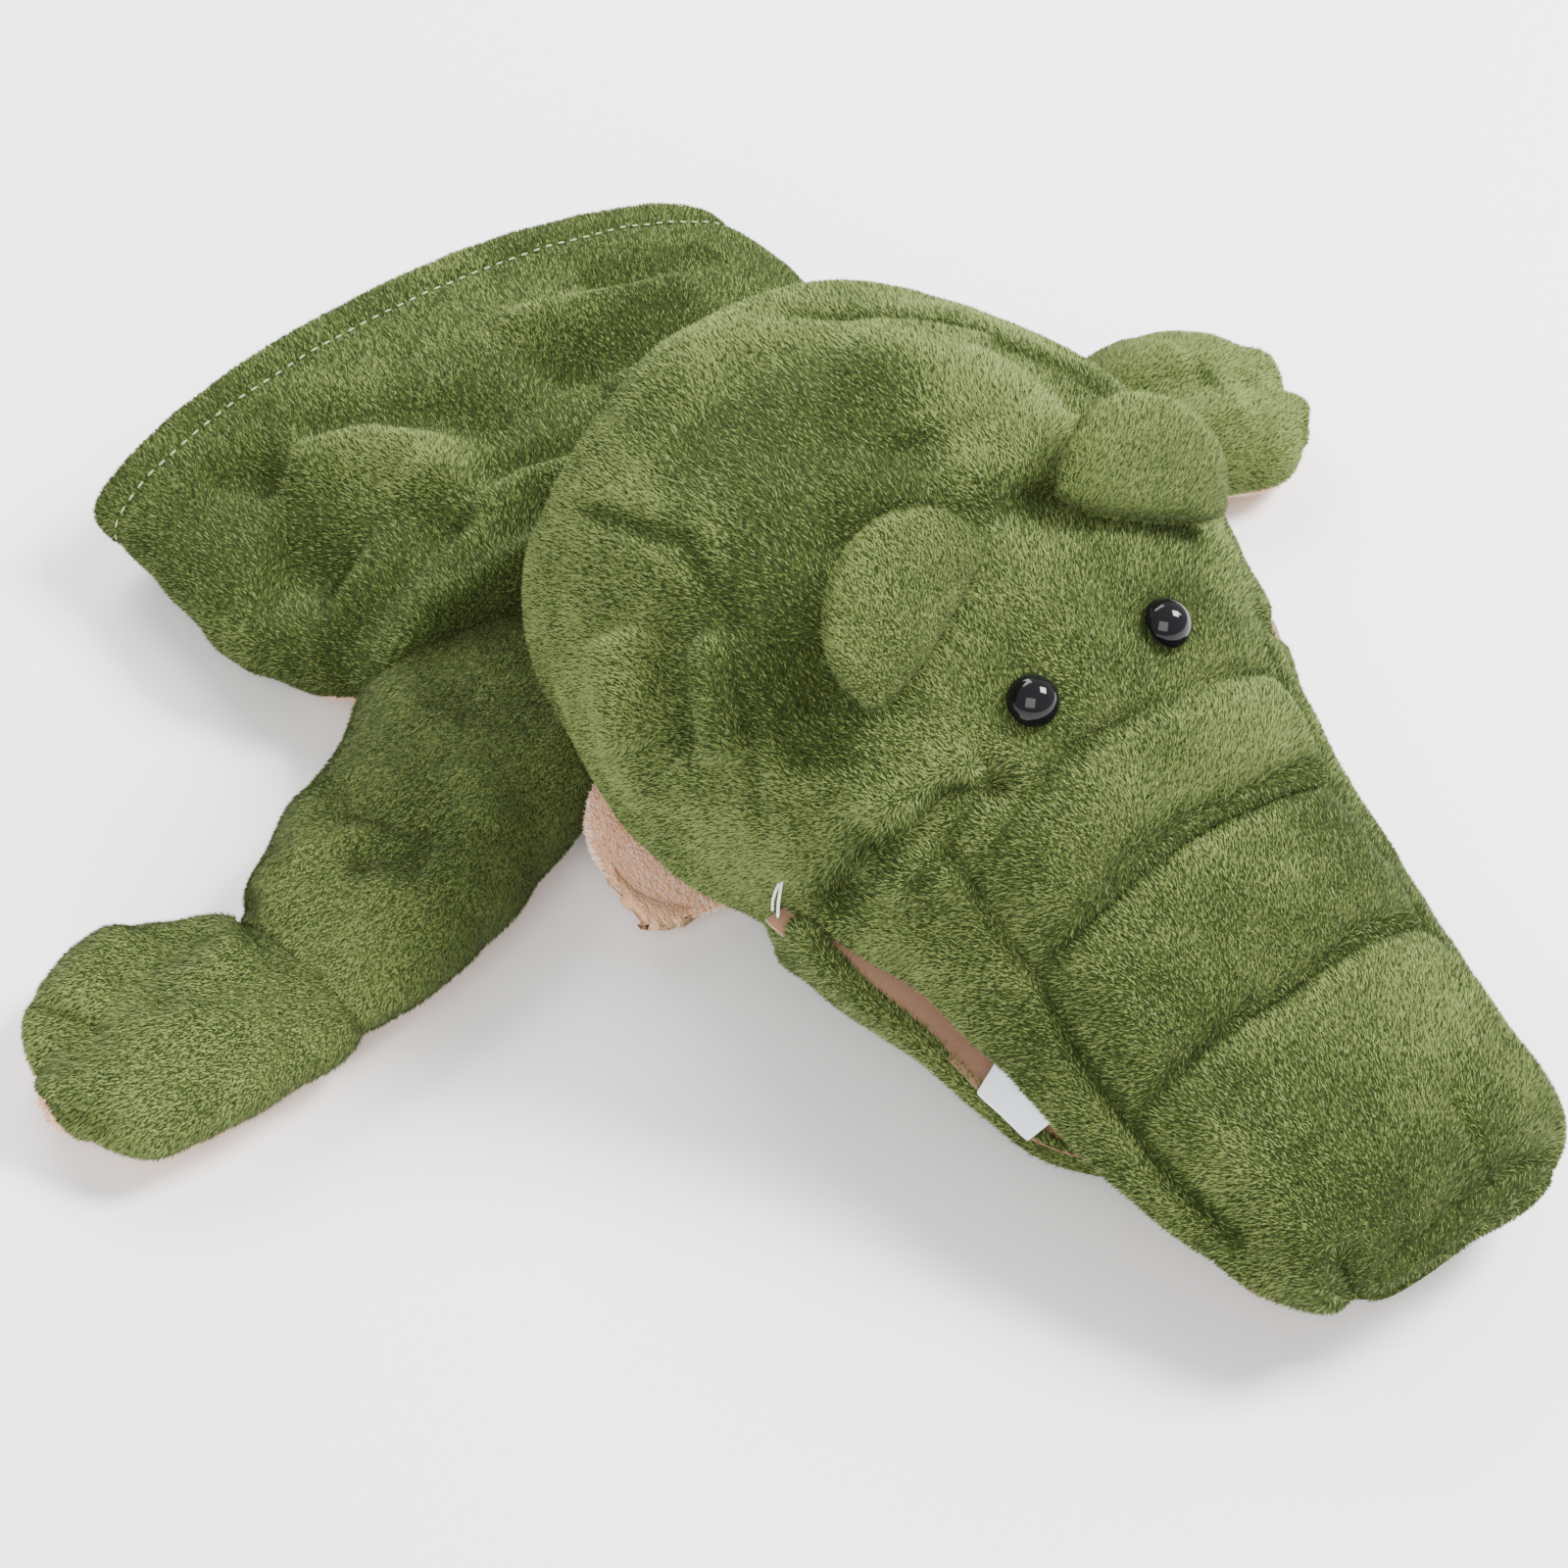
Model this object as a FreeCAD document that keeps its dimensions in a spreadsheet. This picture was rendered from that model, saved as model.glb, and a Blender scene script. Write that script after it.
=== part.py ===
"""Plush crocodile hand puppet with a moving mouth, as a parametric FreeCAD document.

Frame: millimetres, +X towards the snout, +Y to the puppet's left, +Z up.
The origin is on the table, under the middle of the opening that the hand goes in by.
The puppet rests on its belly, with its mouth a little open.
"""

import math
import os

import FreeCAD
import Part
import Sketcher

Vector = FreeCAD.Vector
Rotation = FreeCAD.Rotation
Placement = FreeCAD.Placement

doc = FreeCAD.newDocument("CrocodilePuppet")
dims = doc.addObject("Spreadsheet::Sheet", "Dims")
SECTION_UP = Rotation(Vector(1, 1, 1), 120)  # turns an XY section to face along +X

# ---------------------------------------------------------------- driving dimensions

values = {
    "plushWall": 3.0,
    "liningWall": 1.2,
    "seamGap": 0.2,
    "fillGap": 0.5,
    # mouth
    "hingeX": 218.0,
    "hingeZ": 45.0,
    "palateSlope": 16.5,
    "mouthGape": 13.0,
    "jawTravel": 41.0,
    "jawSpread": 5.0,
    # neck
    "neckX": 140.0,
    "neckZ": 38.0,
    "neckSlope": 28.0,
    "neckBand": 14.0,
    "throatSeamX": 170.5,
    "neckHalfLength": 34.0,
    "neckHalfWidth": 53.0,
    # seams between the head panels
    "crownSeamZ": 66.0,
    "browSeamX": 214.0,
    "quiltSeamX": 238.0,
    "noseSeamX": 313.0,
    "quiltHalfWidth": 38.0,
    "palmCeilingZ": 76.0,
    # sleeve
    "hemX": 0.0,
    "hemDepth": 14.0,
    "hemWall": 2.0,
    "sideSeamZ": 14.0,
    # eyes
    "eyeX": 228.0,
    "eyeY": 16.5,
    "eyeRadius": 5.0,
    "eyeHeight": 4.2,
    "shankRadius": 1.5,
    "shankLength": 10.0,
    "washerRadius": 6.5,
    "washerThickness": 1.6,
    # brow flaps
    "browInnerX": 203.4,
    "browInnerY": 9.9,
    "browInnerZ": 108.0,
    "browOuterX": 213.4,
    "browOuterY": 44.9,
    "browOuterZ": 91.5,
    "browHeight": 20.5,
    "browPanel": 2.6,
    "browFill": 2.0,
    # felt teeth
    "toothX": 256.0,
    "toothLength": 15.0,
    "toothDrop": 6.5,
    "toothThickness": 1.6,
    # arms
    "shoulderX": 121.0,
    "shoulderY": 78.0,
    "armRest": 14.0,
    "rightArmLength": 50.0,
    "leftArmLength": 26.0,
    "wristGap": 5.0,
    "limbSeam": -2.6,
    "rightArmYaw": -66,
    "rightPawYaw": -107,
    "leftArmYaw": 105,
    "leftPawYaw": 75,
}

# name: (x, centre height, half width, half height) of each elliptical section
headStations = {
    "nape": (106, 62, 26, 24),
    "occiput": (118, 60, 50, 42),
    "crownBack": (143, 58, 64, 52),
    "crownTop": (168, 57, 69, 55),
    "crownFront": (193, 54, 67, 52),
    "browLine": (218, 49, 59, 47),
    "quiltSeam": (238, 41.5, 51, 40.5),
    "bandTwo": (256, 33, 49, 32),
    "bandThree": (284, 24.5, 46.5, 22),
    "muzzle": (307, 20, 41, 17),
    "noseEdge": (321, 18, 36, 13.5),
    "noseTip": (328, 17, 24, 8),
}
sleeveStations = {
    "hem": (0, 17, 88, 21),
    "forearm": (43, 17, 87, 22),
    "waist": (74, 17, 80, 23),
    "armpit": (94, 17, 60, 23),
    "chest": (128, 16, 51, 23),
    "bib": (152, 15, 62, 21),
    "throat": (168, 13, 62, 15),
}
# arm and paw sections are measured along the limb from its own joint
armStations = {
    "armRoot": (-23, 0, 8, 5),
    "armArmpit": (-18, 0, 16.5, 8.5),
    "armShoulder": (-9, 0, 23, 12),
    "armJoint": (0, 0, 24, 13),
}
# the right arm lies stretched out and the left one bunched up
rightArmStations = {
    **armStations,
    "rightElbow": (24, 0, 23, 13),
    "rightForearm": (40, -1, 20, 10),
    "rightWrist": (50, -2, 18, 6),
}
leftArmStations = {
    **armStations,
    "leftElbow": (12, 0, 24, 13),
    "leftForearm": (20, -1, 21, 11),
    "leftWrist": (26, -2, 18, 6),
}
pawStations = {
    "pawWrist": (0, -2, 18, 6),
    "pawHeel": (10, -2, 22, 9),
    "pawPalm": (26, -3.5, 26, 10.5),
    "pawToes": (40, -4.5, 24, 9),
    "pawTip": (47, -4, 15, 5),
}

row = 0
written = set()


def put(alias, value):
    """Write one named number into the spreadsheet."""
    global row
    row += 1
    dims.set(f"A{row}", alias)
    dims.set(f"B{row}", str(value))
    dims.setAlias(f"B{row}", alias)


def put_stations(table):
    """Write the numbers of a table of sections that aren't in the sheet yet."""
    for station, numbers in table.items():
        if station not in written:
            written.add(station)
            for suffix, number in zip(("At", "Mid", "Wide", "Tall"), numbers):
                put(station + suffix, number)


for alias, value in values.items():
    put(alias, value)
for table in (headStations, sleeveStations, rightArmStations, leftArmStations, pawStations):
    put_stations(table)
doc.recompute()


def size(alias):
    """The number in a named cell."""
    return float(dims.get(alias))


# ---------------------------------------------------------------- building blocks

subparts = {}


def keep(node, made):
    """Register a finished object as the sub-part of that name."""
    made.Label = node
    subparts[node] = made
    return made


def bind(made, **formulas):
    """Bind properties to spreadsheet formulas; __ in a name stands for a dot."""
    for name, formula in formulas.items():
        made.setExpression(name.replace("__", "."), formula)
    return made


def loft(name, stations, inset="0", first=0, last=0, spread="0", turns=(0, 0)):
    """A solid through elliptical sections.

    inset shrinks every section, and moves the first and last by so many times as much;
    spread widens them all, and turns are the angles of the two end sections."""
    names = list(stations)
    rings = []
    for index, station in enumerate(names):
        ring = doc.addObject("Part::Ellipse", f"{name}_{station}")
        turn = {0: turns[0], len(names) - 1: turns[1]}.get(index, 0)
        ring.Placement = Placement(Vector(0, 0, 0),
                                   Rotation(Vector(0, 0, 1), turn).multiply(SECTION_UP))
        shift = {0: f" + {first} * {inset}", len(names) - 1: f" - {last} * {inset}"}
        bind(
            ring,
            MajorRadius=f"Dims.{station}Wide + {spread} - {inset}",
            MinorRadius=f"Dims.{station}Tall - {inset}",
            Placement__Base__x=f"Dims.{station}At" + shift.get(index, ""),
            Placement__Base__z=f"Dims.{station}Mid",
        )
        rings.append(ring)
    made = doc.addObject("Part::Loft", name)
    made.Sections = rings
    made.Solid = True
    return made


def slab(name, x, y, z, length, width, height, turn=0.0, about=None):
    """A box from formulas, turned about Y through the point `about` if one is given."""
    made = doc.addObject("Part::Box", name)
    bind(made, Length=length, Width=width, Height=height)
    corner = Placement(Vector(x, y, z), Rotation())
    if about is not None:
        spin = Rotation(Vector(0, 1, 0), turn)
        corner = Placement(about, spin).multiply(corner)
    made.Placement = corner
    return made


def cut(name, base, tool):
    made = doc.addObject("Part::Cut", name)
    made.Base, made.Tool = base, tool
    made.Refine = False
    return made


def common(name, base, tool):
    made = doc.addObject("Part::Common", name)
    made.Base, made.Tool = base, tool
    made.Refine = False
    return made


def fuse(name, *shapes):
    made = doc.addObject("Part::MultiFuse", name)
    made.Shapes = list(shapes)
    made.Refine = False
    return made


def body_sketch(body, role="XY_Plane"):
    """A sketch on one of the body's own origin planes."""
    sketch = body.newObject("Sketcher::SketchObject", body.Name + "Sketch")
    plane = next(f for f in body.Origin.OriginFeatures if f.Role == role)
    sketch.AttachmentSupport = [(plane, "")]
    sketch.MapMode = "FlatFace"
    return sketch


def add_cylinder(name, radius, height, place):
    made = doc.addObject("Part::Cylinder", name)
    bind(made, Radius=radius, Height=height)
    made.Placement = place
    return made


# ---------------------------------------------------------------- points and planes

hinge = Vector(size("hingeX"), 0, size("hingeZ"))
neck = Vector(size("neckX"), 0, size("neckZ"))
REACH = "800"  # longer than the puppet, for the boxes that only cut
HALF = 400.0

floor = slab("AboveFloor", -HALF, -HALF, 0, REACH, REACH, REACH)

# ---------------------------------------------------------------- head envelope

headOuter = loft("HeadOuter", headStations)
headInner = loft("HeadInner", headStations, "Dims.plushWall", 1, 1)
headFill = loft("HeadFill", headStations, "(Dims.plushWall + Dims.fillGap)", 1, 1)
headSkin = common("HeadSkin", cut("HeadWall", headOuter, headInner), floor)

# region above the palate: in front of the hinge, over the sloping mouth plane
overPalate = slab("OverPalate", 0, -HALF, 0, REACH, REACH, REACH,
                  size("palateSlope"), hinge)
# region behind the hinge and above the swept path of the jaw
sweepTop = size("palateSlope") + size("mouthGape") + size("jawTravel") + 90
behindHinge = slab("BehindHinge", -2 * HALF, -HALF, 0, REACH, REACH, REACH,
                   sweepTop - 180, hinge)
overNeck = slab("OverNeck", -HALF, -HALF, 0, REACH, REACH, REACH,
                size("neckSlope"), neck)
overHinge = slab("OverHinge", size("neckX"), -HALF, size("hingeZ"), REACH, REACH, REACH)
upperRegion = fuse("UpperRegion", overPalate, common("RearRegion", behindHinge, overNeck),
                   overHinge)
upperSkin = common("UpperSkin", headSkin, upperRegion)


def head_panel(node, base, x0, x1, y0, y1, z0, z1):
    """The part of a head shell between three pairs of seam planes."""
    block = slab(node + "Block", x0, y0, z0, str(x1 - x0), str(y1 - y0), str(z1 - z0))
    return common(node + "Panel", base, block)


browSeamPlane, quiltSeam, noseSeam = size("browSeamX"), size("quiltSeamX"), size("noseSeamX")
crownSeam, quiltHalf = size("crownSeamZ"), size("quiltHalfWidth")

keep("crown_panel", head_panel("Crown", upperSkin, -HALF, browSeamPlane, -HALF, HALF,
                               crownSeam, HALF))
keep("cheek_panel_right", head_panel("CheekRight", upperSkin, -HALF, browSeamPlane, -HALF, 0,
                                     -10, crownSeam))
keep("cheek_panel_left", head_panel("CheekLeft", upperSkin, -HALF, browSeamPlane, 0, HALF,
                                    -10, crownSeam))
facePanel = head_panel("Face", upperSkin, browSeamPlane, quiltSeam, -HALF, HALF, -10, HALF)
keep("quilted_snout_panel", head_panel("Quilt", upperSkin, quiltSeam, noseSeam,
                                       -quiltHalf, quiltHalf, -10, HALF))
keep("lip_panel_right", head_panel("LipRight", upperSkin, quiltSeam, noseSeam,
                                   -HALF, -quiltHalf, -10, HALF))
keep("lip_panel_left", head_panel("LipLeft", upperSkin, quiltSeam, noseSeam,
                                  quiltHalf, HALF, -10, HALF))
keep("nose_panel", head_panel("Nose", upperSkin, noseSeam, HALF, -HALF, HALF, -10, HALF))

# ---------------------------------------------------------------- upper jaw inside

palateBox = slab("PalateBox", 3, -HALF, size("seamGap"), REACH, REACH,
                 "Dims.liningWall", size("palateSlope"), hinge)
keep("palate_lining", common("Palate", headFill, palateBox))

pocketStations = {
    "pocketMouth": (4, 12.2, 34, 10.5),
    "pocketMiddle": (38, 11.8, 32, 10.0),
    "pocketFingers": (68, 8.6, 27, 6.5),
    "pocketTip": (80, 7.6, 19, 4.0),
}
thumbStations = {
    "thumbMouth": (8, -14, 22, 9.5),
    "thumbMiddle": (32, -11, 19, 7.5),
    "thumbTip": (44, -8.5, 12, 4),
}
put_stations(pocketStations)
put_stations(thumbStations)
doc.recompute()

alongPalate = Placement(hinge, Rotation(Vector(0, 1, 0), size("palateSlope")))
alongJaw = Placement(hinge, Rotation(Vector(0, 1, 0),
                                     size("palateSlope") + size("mouthGape")))


def pocket(node, stations, place):
    """A lining pocket: closed at its tip and open where the hand goes in."""
    outer = loft(node + "Outer", stations)
    inner = loft(node + "Inner", stations, "Dims.liningWall", -1, 1)
    made = cut(node + "Wall", outer, inner)
    made.Placement = place
    return keep(node, made)


pocket("finger_pocket", pocketStations, alongPalate)
fingerBlock = loft("FingerBlock", pocketStations, "(-1 * Dims.fillGap)", 1, 1)
fingerBlock.Placement = alongPalate
snoutRegion = slab("SnoutRegion", 6, -HALF, 2, REACH, REACH, REACH,
                   size("palateSlope"), hinge)
snoutFill = cut("SnoutFill", common("SnoutRaw", headFill, snoutRegion), fingerBlock)
palmRoom = slab("PalmRoom", -HALF, -HALF, -10, str(HALF + size("browSeamX") + 12),
                REACH, REACH)
snoutStuffing = cut("SnoutStuffing", snoutFill, palmRoom)

palmLiningBox = slab("PalmLiningBox", -HALF, -HALF, size("palmCeilingZ"),
                     str(HALF + size("browSeamX")), REACH, "Dims.liningWall")
keep("palm_lining", common("PalmLining", headFill, palmLiningBox))
crownFillBox = slab("CrownFillBox", -HALF, -HALF, size("palmCeilingZ") + 1.6,
                    str(HALF + size("browSeamX")), REACH, REACH)
keep("crown_stuffing", common("CrownStuffing", headFill, crownFillBox))

# ---------------------------------------------------------------- cheek gusset

# The stretch of plush between the cheeks and the jaw folds as the mouth opens.
gussetTop = slab("GussetTop", -2 * HALF, -HALF, -2 * HALF, REACH, REACH, REACH,
                 sweepTop - 180, Vector(hinge.x, 0, hinge.z - size("seamGap")))
jawRear = slab("JawRear", -2 * HALF, -HALF, -HALF, REACH, REACH, REACH,
               size("palateSlope") + size("mouthGape"),
               Vector(hinge.x - size("seamGap"), 0, hinge.z))
underNeckBand = slab("UnderNeckBand", size("throatSeamX"), -HALF, -HALF, REACH, REACH, REACH)
gusset = common("GussetRaw", common("GussetSide", headSkin, gussetTop), jawRear)
keep("cheek_gusset", common("CheekGusset", gusset, underNeckBand))

# ---------------------------------------------------------------- lower jaw

underJaw = slab("UnderJaw", 0, -HALF, -2 * HALF, REACH, REACH, REACH,
                size("palateSlope") + size("mouthGape"), hinge)
jawOuter = loft("JawOuter", headStations, spread="Dims.jawSpread")
jawInner = loft("JawInner", headStations, "Dims.plushWall", 1, 1, "Dims.jawSpread")
jawFill = loft("JawFill", headStations, "(Dims.plushWall + Dims.fillGap)", 1, 1,
               "Dims.jawSpread")
jawSkin = common("JawSkin", cut("JawWall", jawOuter, jawInner), floor)
keep("jaw_panel", common("JawPanel", jawSkin, underJaw))
jawLiningBox = slab("JawLiningBox", 3, -HALF, -size("seamGap") - size("liningWall"),
                    REACH, REACH, "Dims.liningWall",
                    size("palateSlope") + size("mouthGape"), hinge)
wallTop = slab("InsideFloor", -HALF, -HALF, size("plushWall") + size("seamGap"),
               REACH, REACH, REACH)
keep("jaw_lining", common("JawLining", common("JawLiningRaw", jawFill, jawLiningBox),
                          wallTop))
pocket("thumb_pocket", thumbStations, alongJaw)
thumbBlock = loft("ThumbBlock", thumbStations, "(-1 * Dims.fillGap)", 1, 1)
thumbBlock.Placement = alongJaw
jawRegion = slab("JawRegion", 20, -HALF, -2 * HALF - 2.2, REACH, REACH, REACH,
                 size("palateSlope") + size("mouthGape"), hinge)
jawRaw = common("JawFillRaw", common("JawFillFloor", jawFill, jawRegion), wallTop)
keep("jaw_stuffing", cut("JawStuffing", jawRaw, thumbBlock))

# ---------------------------------------------------------------- safety eyes


def head_surface(x, y):
    """Height and outward normal of the head's envelope over the point (x, y)."""
    rows = list(headStations.values())
    for a, b in zip(rows, rows[1:]):
        if a[0] <= x <= b[0]:
            share = (x - a[0]) / (b[0] - a[0])
            mid, wide, tall = (a[i] + share * (b[i] - a[i]) for i in (1, 2, 3))
            rise = tall * math.sqrt(1 - (y / wide) ** 2)
            slope = ((b[1] + b[3]) - (a[1] + a[3])) / (b[0] - a[0])
            normal = Vector(-slope * rise / tall, y / wide**2 * tall**2 / rise, 1)
            return mid + rise, normal.normalize()
    raise ValueError(f"x = {x} is outside the head")


def revolve_profile(node, points):
    """A PartDesign body turned about its own Z from a closed outline in its XZ plane."""
    body = doc.addObject("PartDesign::Body", node)
    sketch = body_sketch(body, "XZ_Plane")
    for a, b in zip(points, points[1:] + points[:1]):
        if len(b) == 3:  # a dome: an arc about the axis point at that height
            radius = b[2]
            circle = Part.Circle(Vector(0, b[1] - radius, 0), Vector(0, 0, 1), radius)
            start = math.atan2(a[1] - b[1] + radius, a[0])
            sketch.addGeometry(Part.ArcOfCircle(circle, start, math.pi / 2))
        else:
            sketch.addGeometry(Part.LineSegment(Vector(a[0], a[1], 0), Vector(b[0], b[1], 0)))
    turned = body.newObject("PartDesign::Revolution", node + "Turned")
    turned.Profile = sketch
    turned.ReferenceAxis = (sketch, ["V_Axis"])
    turned.Angle = 360
    return body


eyeRadius, eyeHeight = size("eyeRadius"), size("eyeHeight")
domeRadius = (eyeRadius**2 + eyeHeight**2) / (2 * eyeHeight)
shankRadius, shankLength = size("shankRadius"), size("shankLength")
shankHoles = []
for side, sign in (("right", -1), ("left", 1)):
    height, normal = head_surface(size("eyeX"), sign * size("eyeY"))
    seat = Vector(size("eyeX"), sign * size("eyeY"), height) + normal * 0.9
    place = Placement(seat, Rotation(Vector(0, 0, 1), normal))
    eye = revolve_profile(f"Eye{side.title()}", [
        (0, -shankLength), (shankRadius, -shankLength), (shankRadius, 0),
        (eyeRadius, 0), (0, eyeHeight, domeRadius)])
    eye.Placement = place
    keep(f"eye_{side}", eye)
    wasAt = -shankLength + 1.0
    washer = revolve_profile(f"Washer{side.title()}", [
        (shankRadius + 0.05, wasAt), (size("washerRadius"), wasAt),
        (size("washerRadius"), wasAt + size("washerThickness")),
        (shankRadius + 0.05, wasAt + size("washerThickness"))])
    washer.Placement = place
    keep(f"eye_washer_{side}", washer)
    hole = add_cylinder(f"ShankHole{side}", "Dims.shankRadius + 0.1", "Dims.shankLength",
                        place.multiply(Placement(Vector(0, 0, -shankLength), Rotation())))
    seatCut = add_cylinder(f"WasherRoom{side}", "Dims.washerRadius + 0.5",
                           "Dims.washerThickness + 6",
                           place.multiply(Placement(Vector(0, 0, wasAt - 4.5), Rotation())))
    shankHoles.append((hole, seatCut))

keep("face_panel", cut("FacePierced", facePanel,
                       fuse("EyeHoles", shankHoles[0][0], shankHoles[1][0])))
keep("snout_stuffing", cut("SnoutStuffingPierced", snoutStuffing,
                           fuse("WasherRooms", *shankHoles[0], *shankHoles[1])))

# ---------------------------------------------------------------- brow flaps

def half_disc(name, radius, base, thickness, offset):
    """A half-round pad in its own XZ plane, standing on Y, `thickness` deep."""
    body = doc.addObject("PartDesign::Body", name)
    sketch = body_sketch(body, "YZ_Plane")
    ellipse = Part.Ellipse(Vector(0, 0, 0), base, radius) if base > radius else \
        Part.Circle(Vector(0, 0, 0), Vector(0, 0, 1), radius)
    if base > radius:
        sketch.addGeometry(Part.ArcOfEllipse(ellipse, 0, math.pi))
    else:
        sketch.addGeometry(Part.ArcOfCircle(ellipse, 0, math.pi))
        base = radius
    sketch.addGeometry(Part.LineSegment(Vector(-base, 0, 0), Vector(base, 0, 0)))
    pad = body.newObject("PartDesign::Pad", name + "Pad")
    pad.Profile = sketch
    bind(pad, Length=thickness)
    body.Placement = Placement(Vector(offset, 0, 0), Rotation())
    return body


browFill, browPanel = size("browFill"), size("browPanel")
browLean = (-0.42, 0.62, 0.66)  # the way a flap stands, for the left one
browSeam = 3.0  # how far its stuffing stays inside the panels' edge
panelGap = 0.1
for side, sign in (("right", -1), ("left", 1)):
    inner = Vector(size("browInnerX"), sign * size("browInnerY"), size("browInnerZ"))
    outer = Vector(size("browOuterX"), sign * size("browOuterY"), size("browOuterZ"))
    along = (outer - inner).normalize()
    middle = (inner + outer) * 0.5
    lean = Vector(browLean[0], sign * browLean[1], browLean[2])
    up = (lean - along * lean.dot(along)).normalize()
    facing = along.cross(up) if sign > 0 else up.cross(along)
    frame = Rotation(facing, along if sign > 0 else along * -1, up, "ZXY")
    halfBase = (outer - inner).Length / 2
    for node, offset, thickness, shrink in (
            ("brow_front", browFill / 2 + panelGap, "Dims.browPanel", 0.0),
            ("brow_stuffing", -browFill / 2, "Dims.browFill", browSeam),
            ("brow_back", -browFill / 2 - panelGap - browPanel, "Dims.browPanel", 0.0)):
        flap = half_disc(f"{node}_{side}_body", size("browHeight") - shrink,
                         halfBase - shrink, thickness, 0)
        flap.Placement = Placement(middle, frame).multiply(
            Placement(Vector(offset, 0, 0), Rotation()))
        keep(f"{node}_{side}", flap)

# ---------------------------------------------------------------- felt teeth

for side, sign in (("right", -1), ("left", 1)):
    tooth = doc.addObject("Part::Wedge", f"Tooth{side.title()}")
    length, drop, thick = size("toothLength"), size("toothDrop"), size("toothThickness")
    tooth.Xmin, tooth.Xmax = 0, length
    tooth.Ymin, tooth.Ymax = 0, drop
    tooth.Zmin, tooth.Zmax = 0, thick
    tooth.X2min, tooth.X2max = 0.15 * length, 0.85 * length
    tooth.Z2min, tooth.Z2max = 0, thick
    run = size("toothX") - size("hingeX")
    spin = Rotation(Vector(0, 1, 0), size("palateSlope")).multiply(
        Rotation(Vector(1, 0, 0), -90))
    start = alongPalate.multVec(Vector(run, sign * 44 - thick / 2, -size("seamGap")))
    tooth.Placement = Placement(start + Vector(0, 0, 0), spin)
    keep(f"tooth_{side}", tooth)

# ---------------------------------------------------------------- sleeve

openEnd = 4  # how many insets an inner loft runs past the open hem
sleeveOuter = loft("SleeveOuter", sleeveStations)
sleeveInner = loft("SleeveInner", sleeveStations, "Dims.plushWall", -openEnd, 1)
hemInner = loft("HemInner", sleeveStations,
                "(Dims.plushWall + Dims.seamGap + Dims.hemWall)", -openEnd, 1)
hemOuter = loft("HemOuter", sleeveStations, "(Dims.plushWall + Dims.seamGap)", -openEnd, 1)
aboveHemWall = slab("AboveHemWall", -HALF, -HALF, size("plushWall") + size("seamGap"),
                    REACH, REACH, REACH)
bellyFlat = slab("BellyFlat", -HALF, -HALF, 0, REACH, REACH, "Dims.plushWall")
hemFlat = slab("HemFlat", -HALF, -HALF, size("plushWall") + size("seamGap"), REACH, REACH,
               "Dims.hemWall")
band = size("neckBand")
underNeck = slab("UnderNeck", -HALF, -HALF, -band - 2 * HALF, REACH, REACH, REACH,
                 size("neckSlope"), neck)
sleeveWall = fuse("SleeveWall",
                  common("SleeveStanding", cut("SleeveShell", sleeveOuter, sleeveInner), floor),
                  common("SleeveFlat", sleeveOuter, bellyFlat))
sleeveTube = common("SleeveTube", sleeveWall, underNeck)
seam = size("sideSeamZ")
overSide = slab("OverSideSeam", -HALF, -HALF, seam, REACH, REACH, REACH)
underSide = slab("UnderSideSeam", -HALF, -HALF, seam - 2 * HALF, REACH, REACH, REACH)
keep("sleeve_back", common("SleeveBack", sleeveTube, overSide))
keep("sleeve_belly", common("SleeveBelly", sleeveTube, underSide))

hemBlock = slab("HemBlock", size("hemX"), -HALF, -HALF, "Dims.hemDepth", REACH, REACH)
hemWall = fuse("HemWall",
               common("HemStanding", cut("HemShell", hemOuter, hemInner), aboveHemWall),
               common("HemFlatPart", hemOuter, hemFlat))
hemRing = common("HemRing", hemWall, hemBlock)
keep("hem_back", common("HemBack", hemRing, overSide))
keep("hem_belly", common("HemBelly", hemRing, underSide))

# ---------------------------------------------------------------- neck band


def neck_ring(name, level, wide, inset):
    """An elliptical section parallel to the neck seam, `level` along its normal."""
    ring = doc.addObject("Part::Ellipse", name)
    tilt = Rotation(Vector(0, 1, 0), size("neckSlope"))
    ring.Placement = Placement(neck + tilt.multVec(Vector(0, 0, level)),
                               tilt.multiply(Rotation(Vector(0, 0, 1), 90)))
    bind(ring, MajorRadius=f"Dims.neckHalfWidth + {wide} - {inset}",
         MinorRadius=f"Dims.neckHalfLength + {wide} - {inset}")
    return ring


def neck_tube(name, low, high, wideLow, wideHigh, inset):
    made = doc.addObject("Part::Loft", name)
    made.Sections = [neck_ring(name + "Low", low, wideLow, inset),
                     neck_ring(name + "High", high, wideHigh, inset)]
    made.Solid = True
    return made


gap = size("seamGap")
gather = cut("NeckGatherWall", neck_tube("NeckGatherOuter", gap - band, -gap, -3, -3, "0"),
             neck_tube("NeckGatherInner", gap - band - 2, 2, -3, -3, "Dims.liningWall"))
keep("neck_gather", common("NeckGather", gather, floor))

# ---------------------------------------------------------------- arms and paws


def stuffed_limb(name, stations, place, turns):
    """Two plush panels round a stuffing, all posed by one placement."""
    outer = loft(name + "Outer", stations, turns=turns)
    inner = loft(name + "Inner", stations, "Dims.plushWall", 1, 1, turns=turns)
    fill = loft(name + "Fill", stations, "(Dims.plushWall + Dims.fillGap)", 1, 1, turns=turns)
    wall = cut(name + "Wall", outer, inner)
    over = slab(name + "Over", -HALF, -HALF, size("limbSeam"), REACH, REACH, REACH)
    under = slab(name + "Under", -HALF, -HALF, size("limbSeam") - 2 * HALF,
                 REACH, REACH, REACH)
    for suffix, made in (("upper", common(name + "UpperPanel", wall, over)),
                         ("lower", common(name + "LowerPanel", wall, under)),
                         ("stuffing", fill)):
        made.Placement = place
        keep(f"{name}_{suffix}", made)


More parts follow.
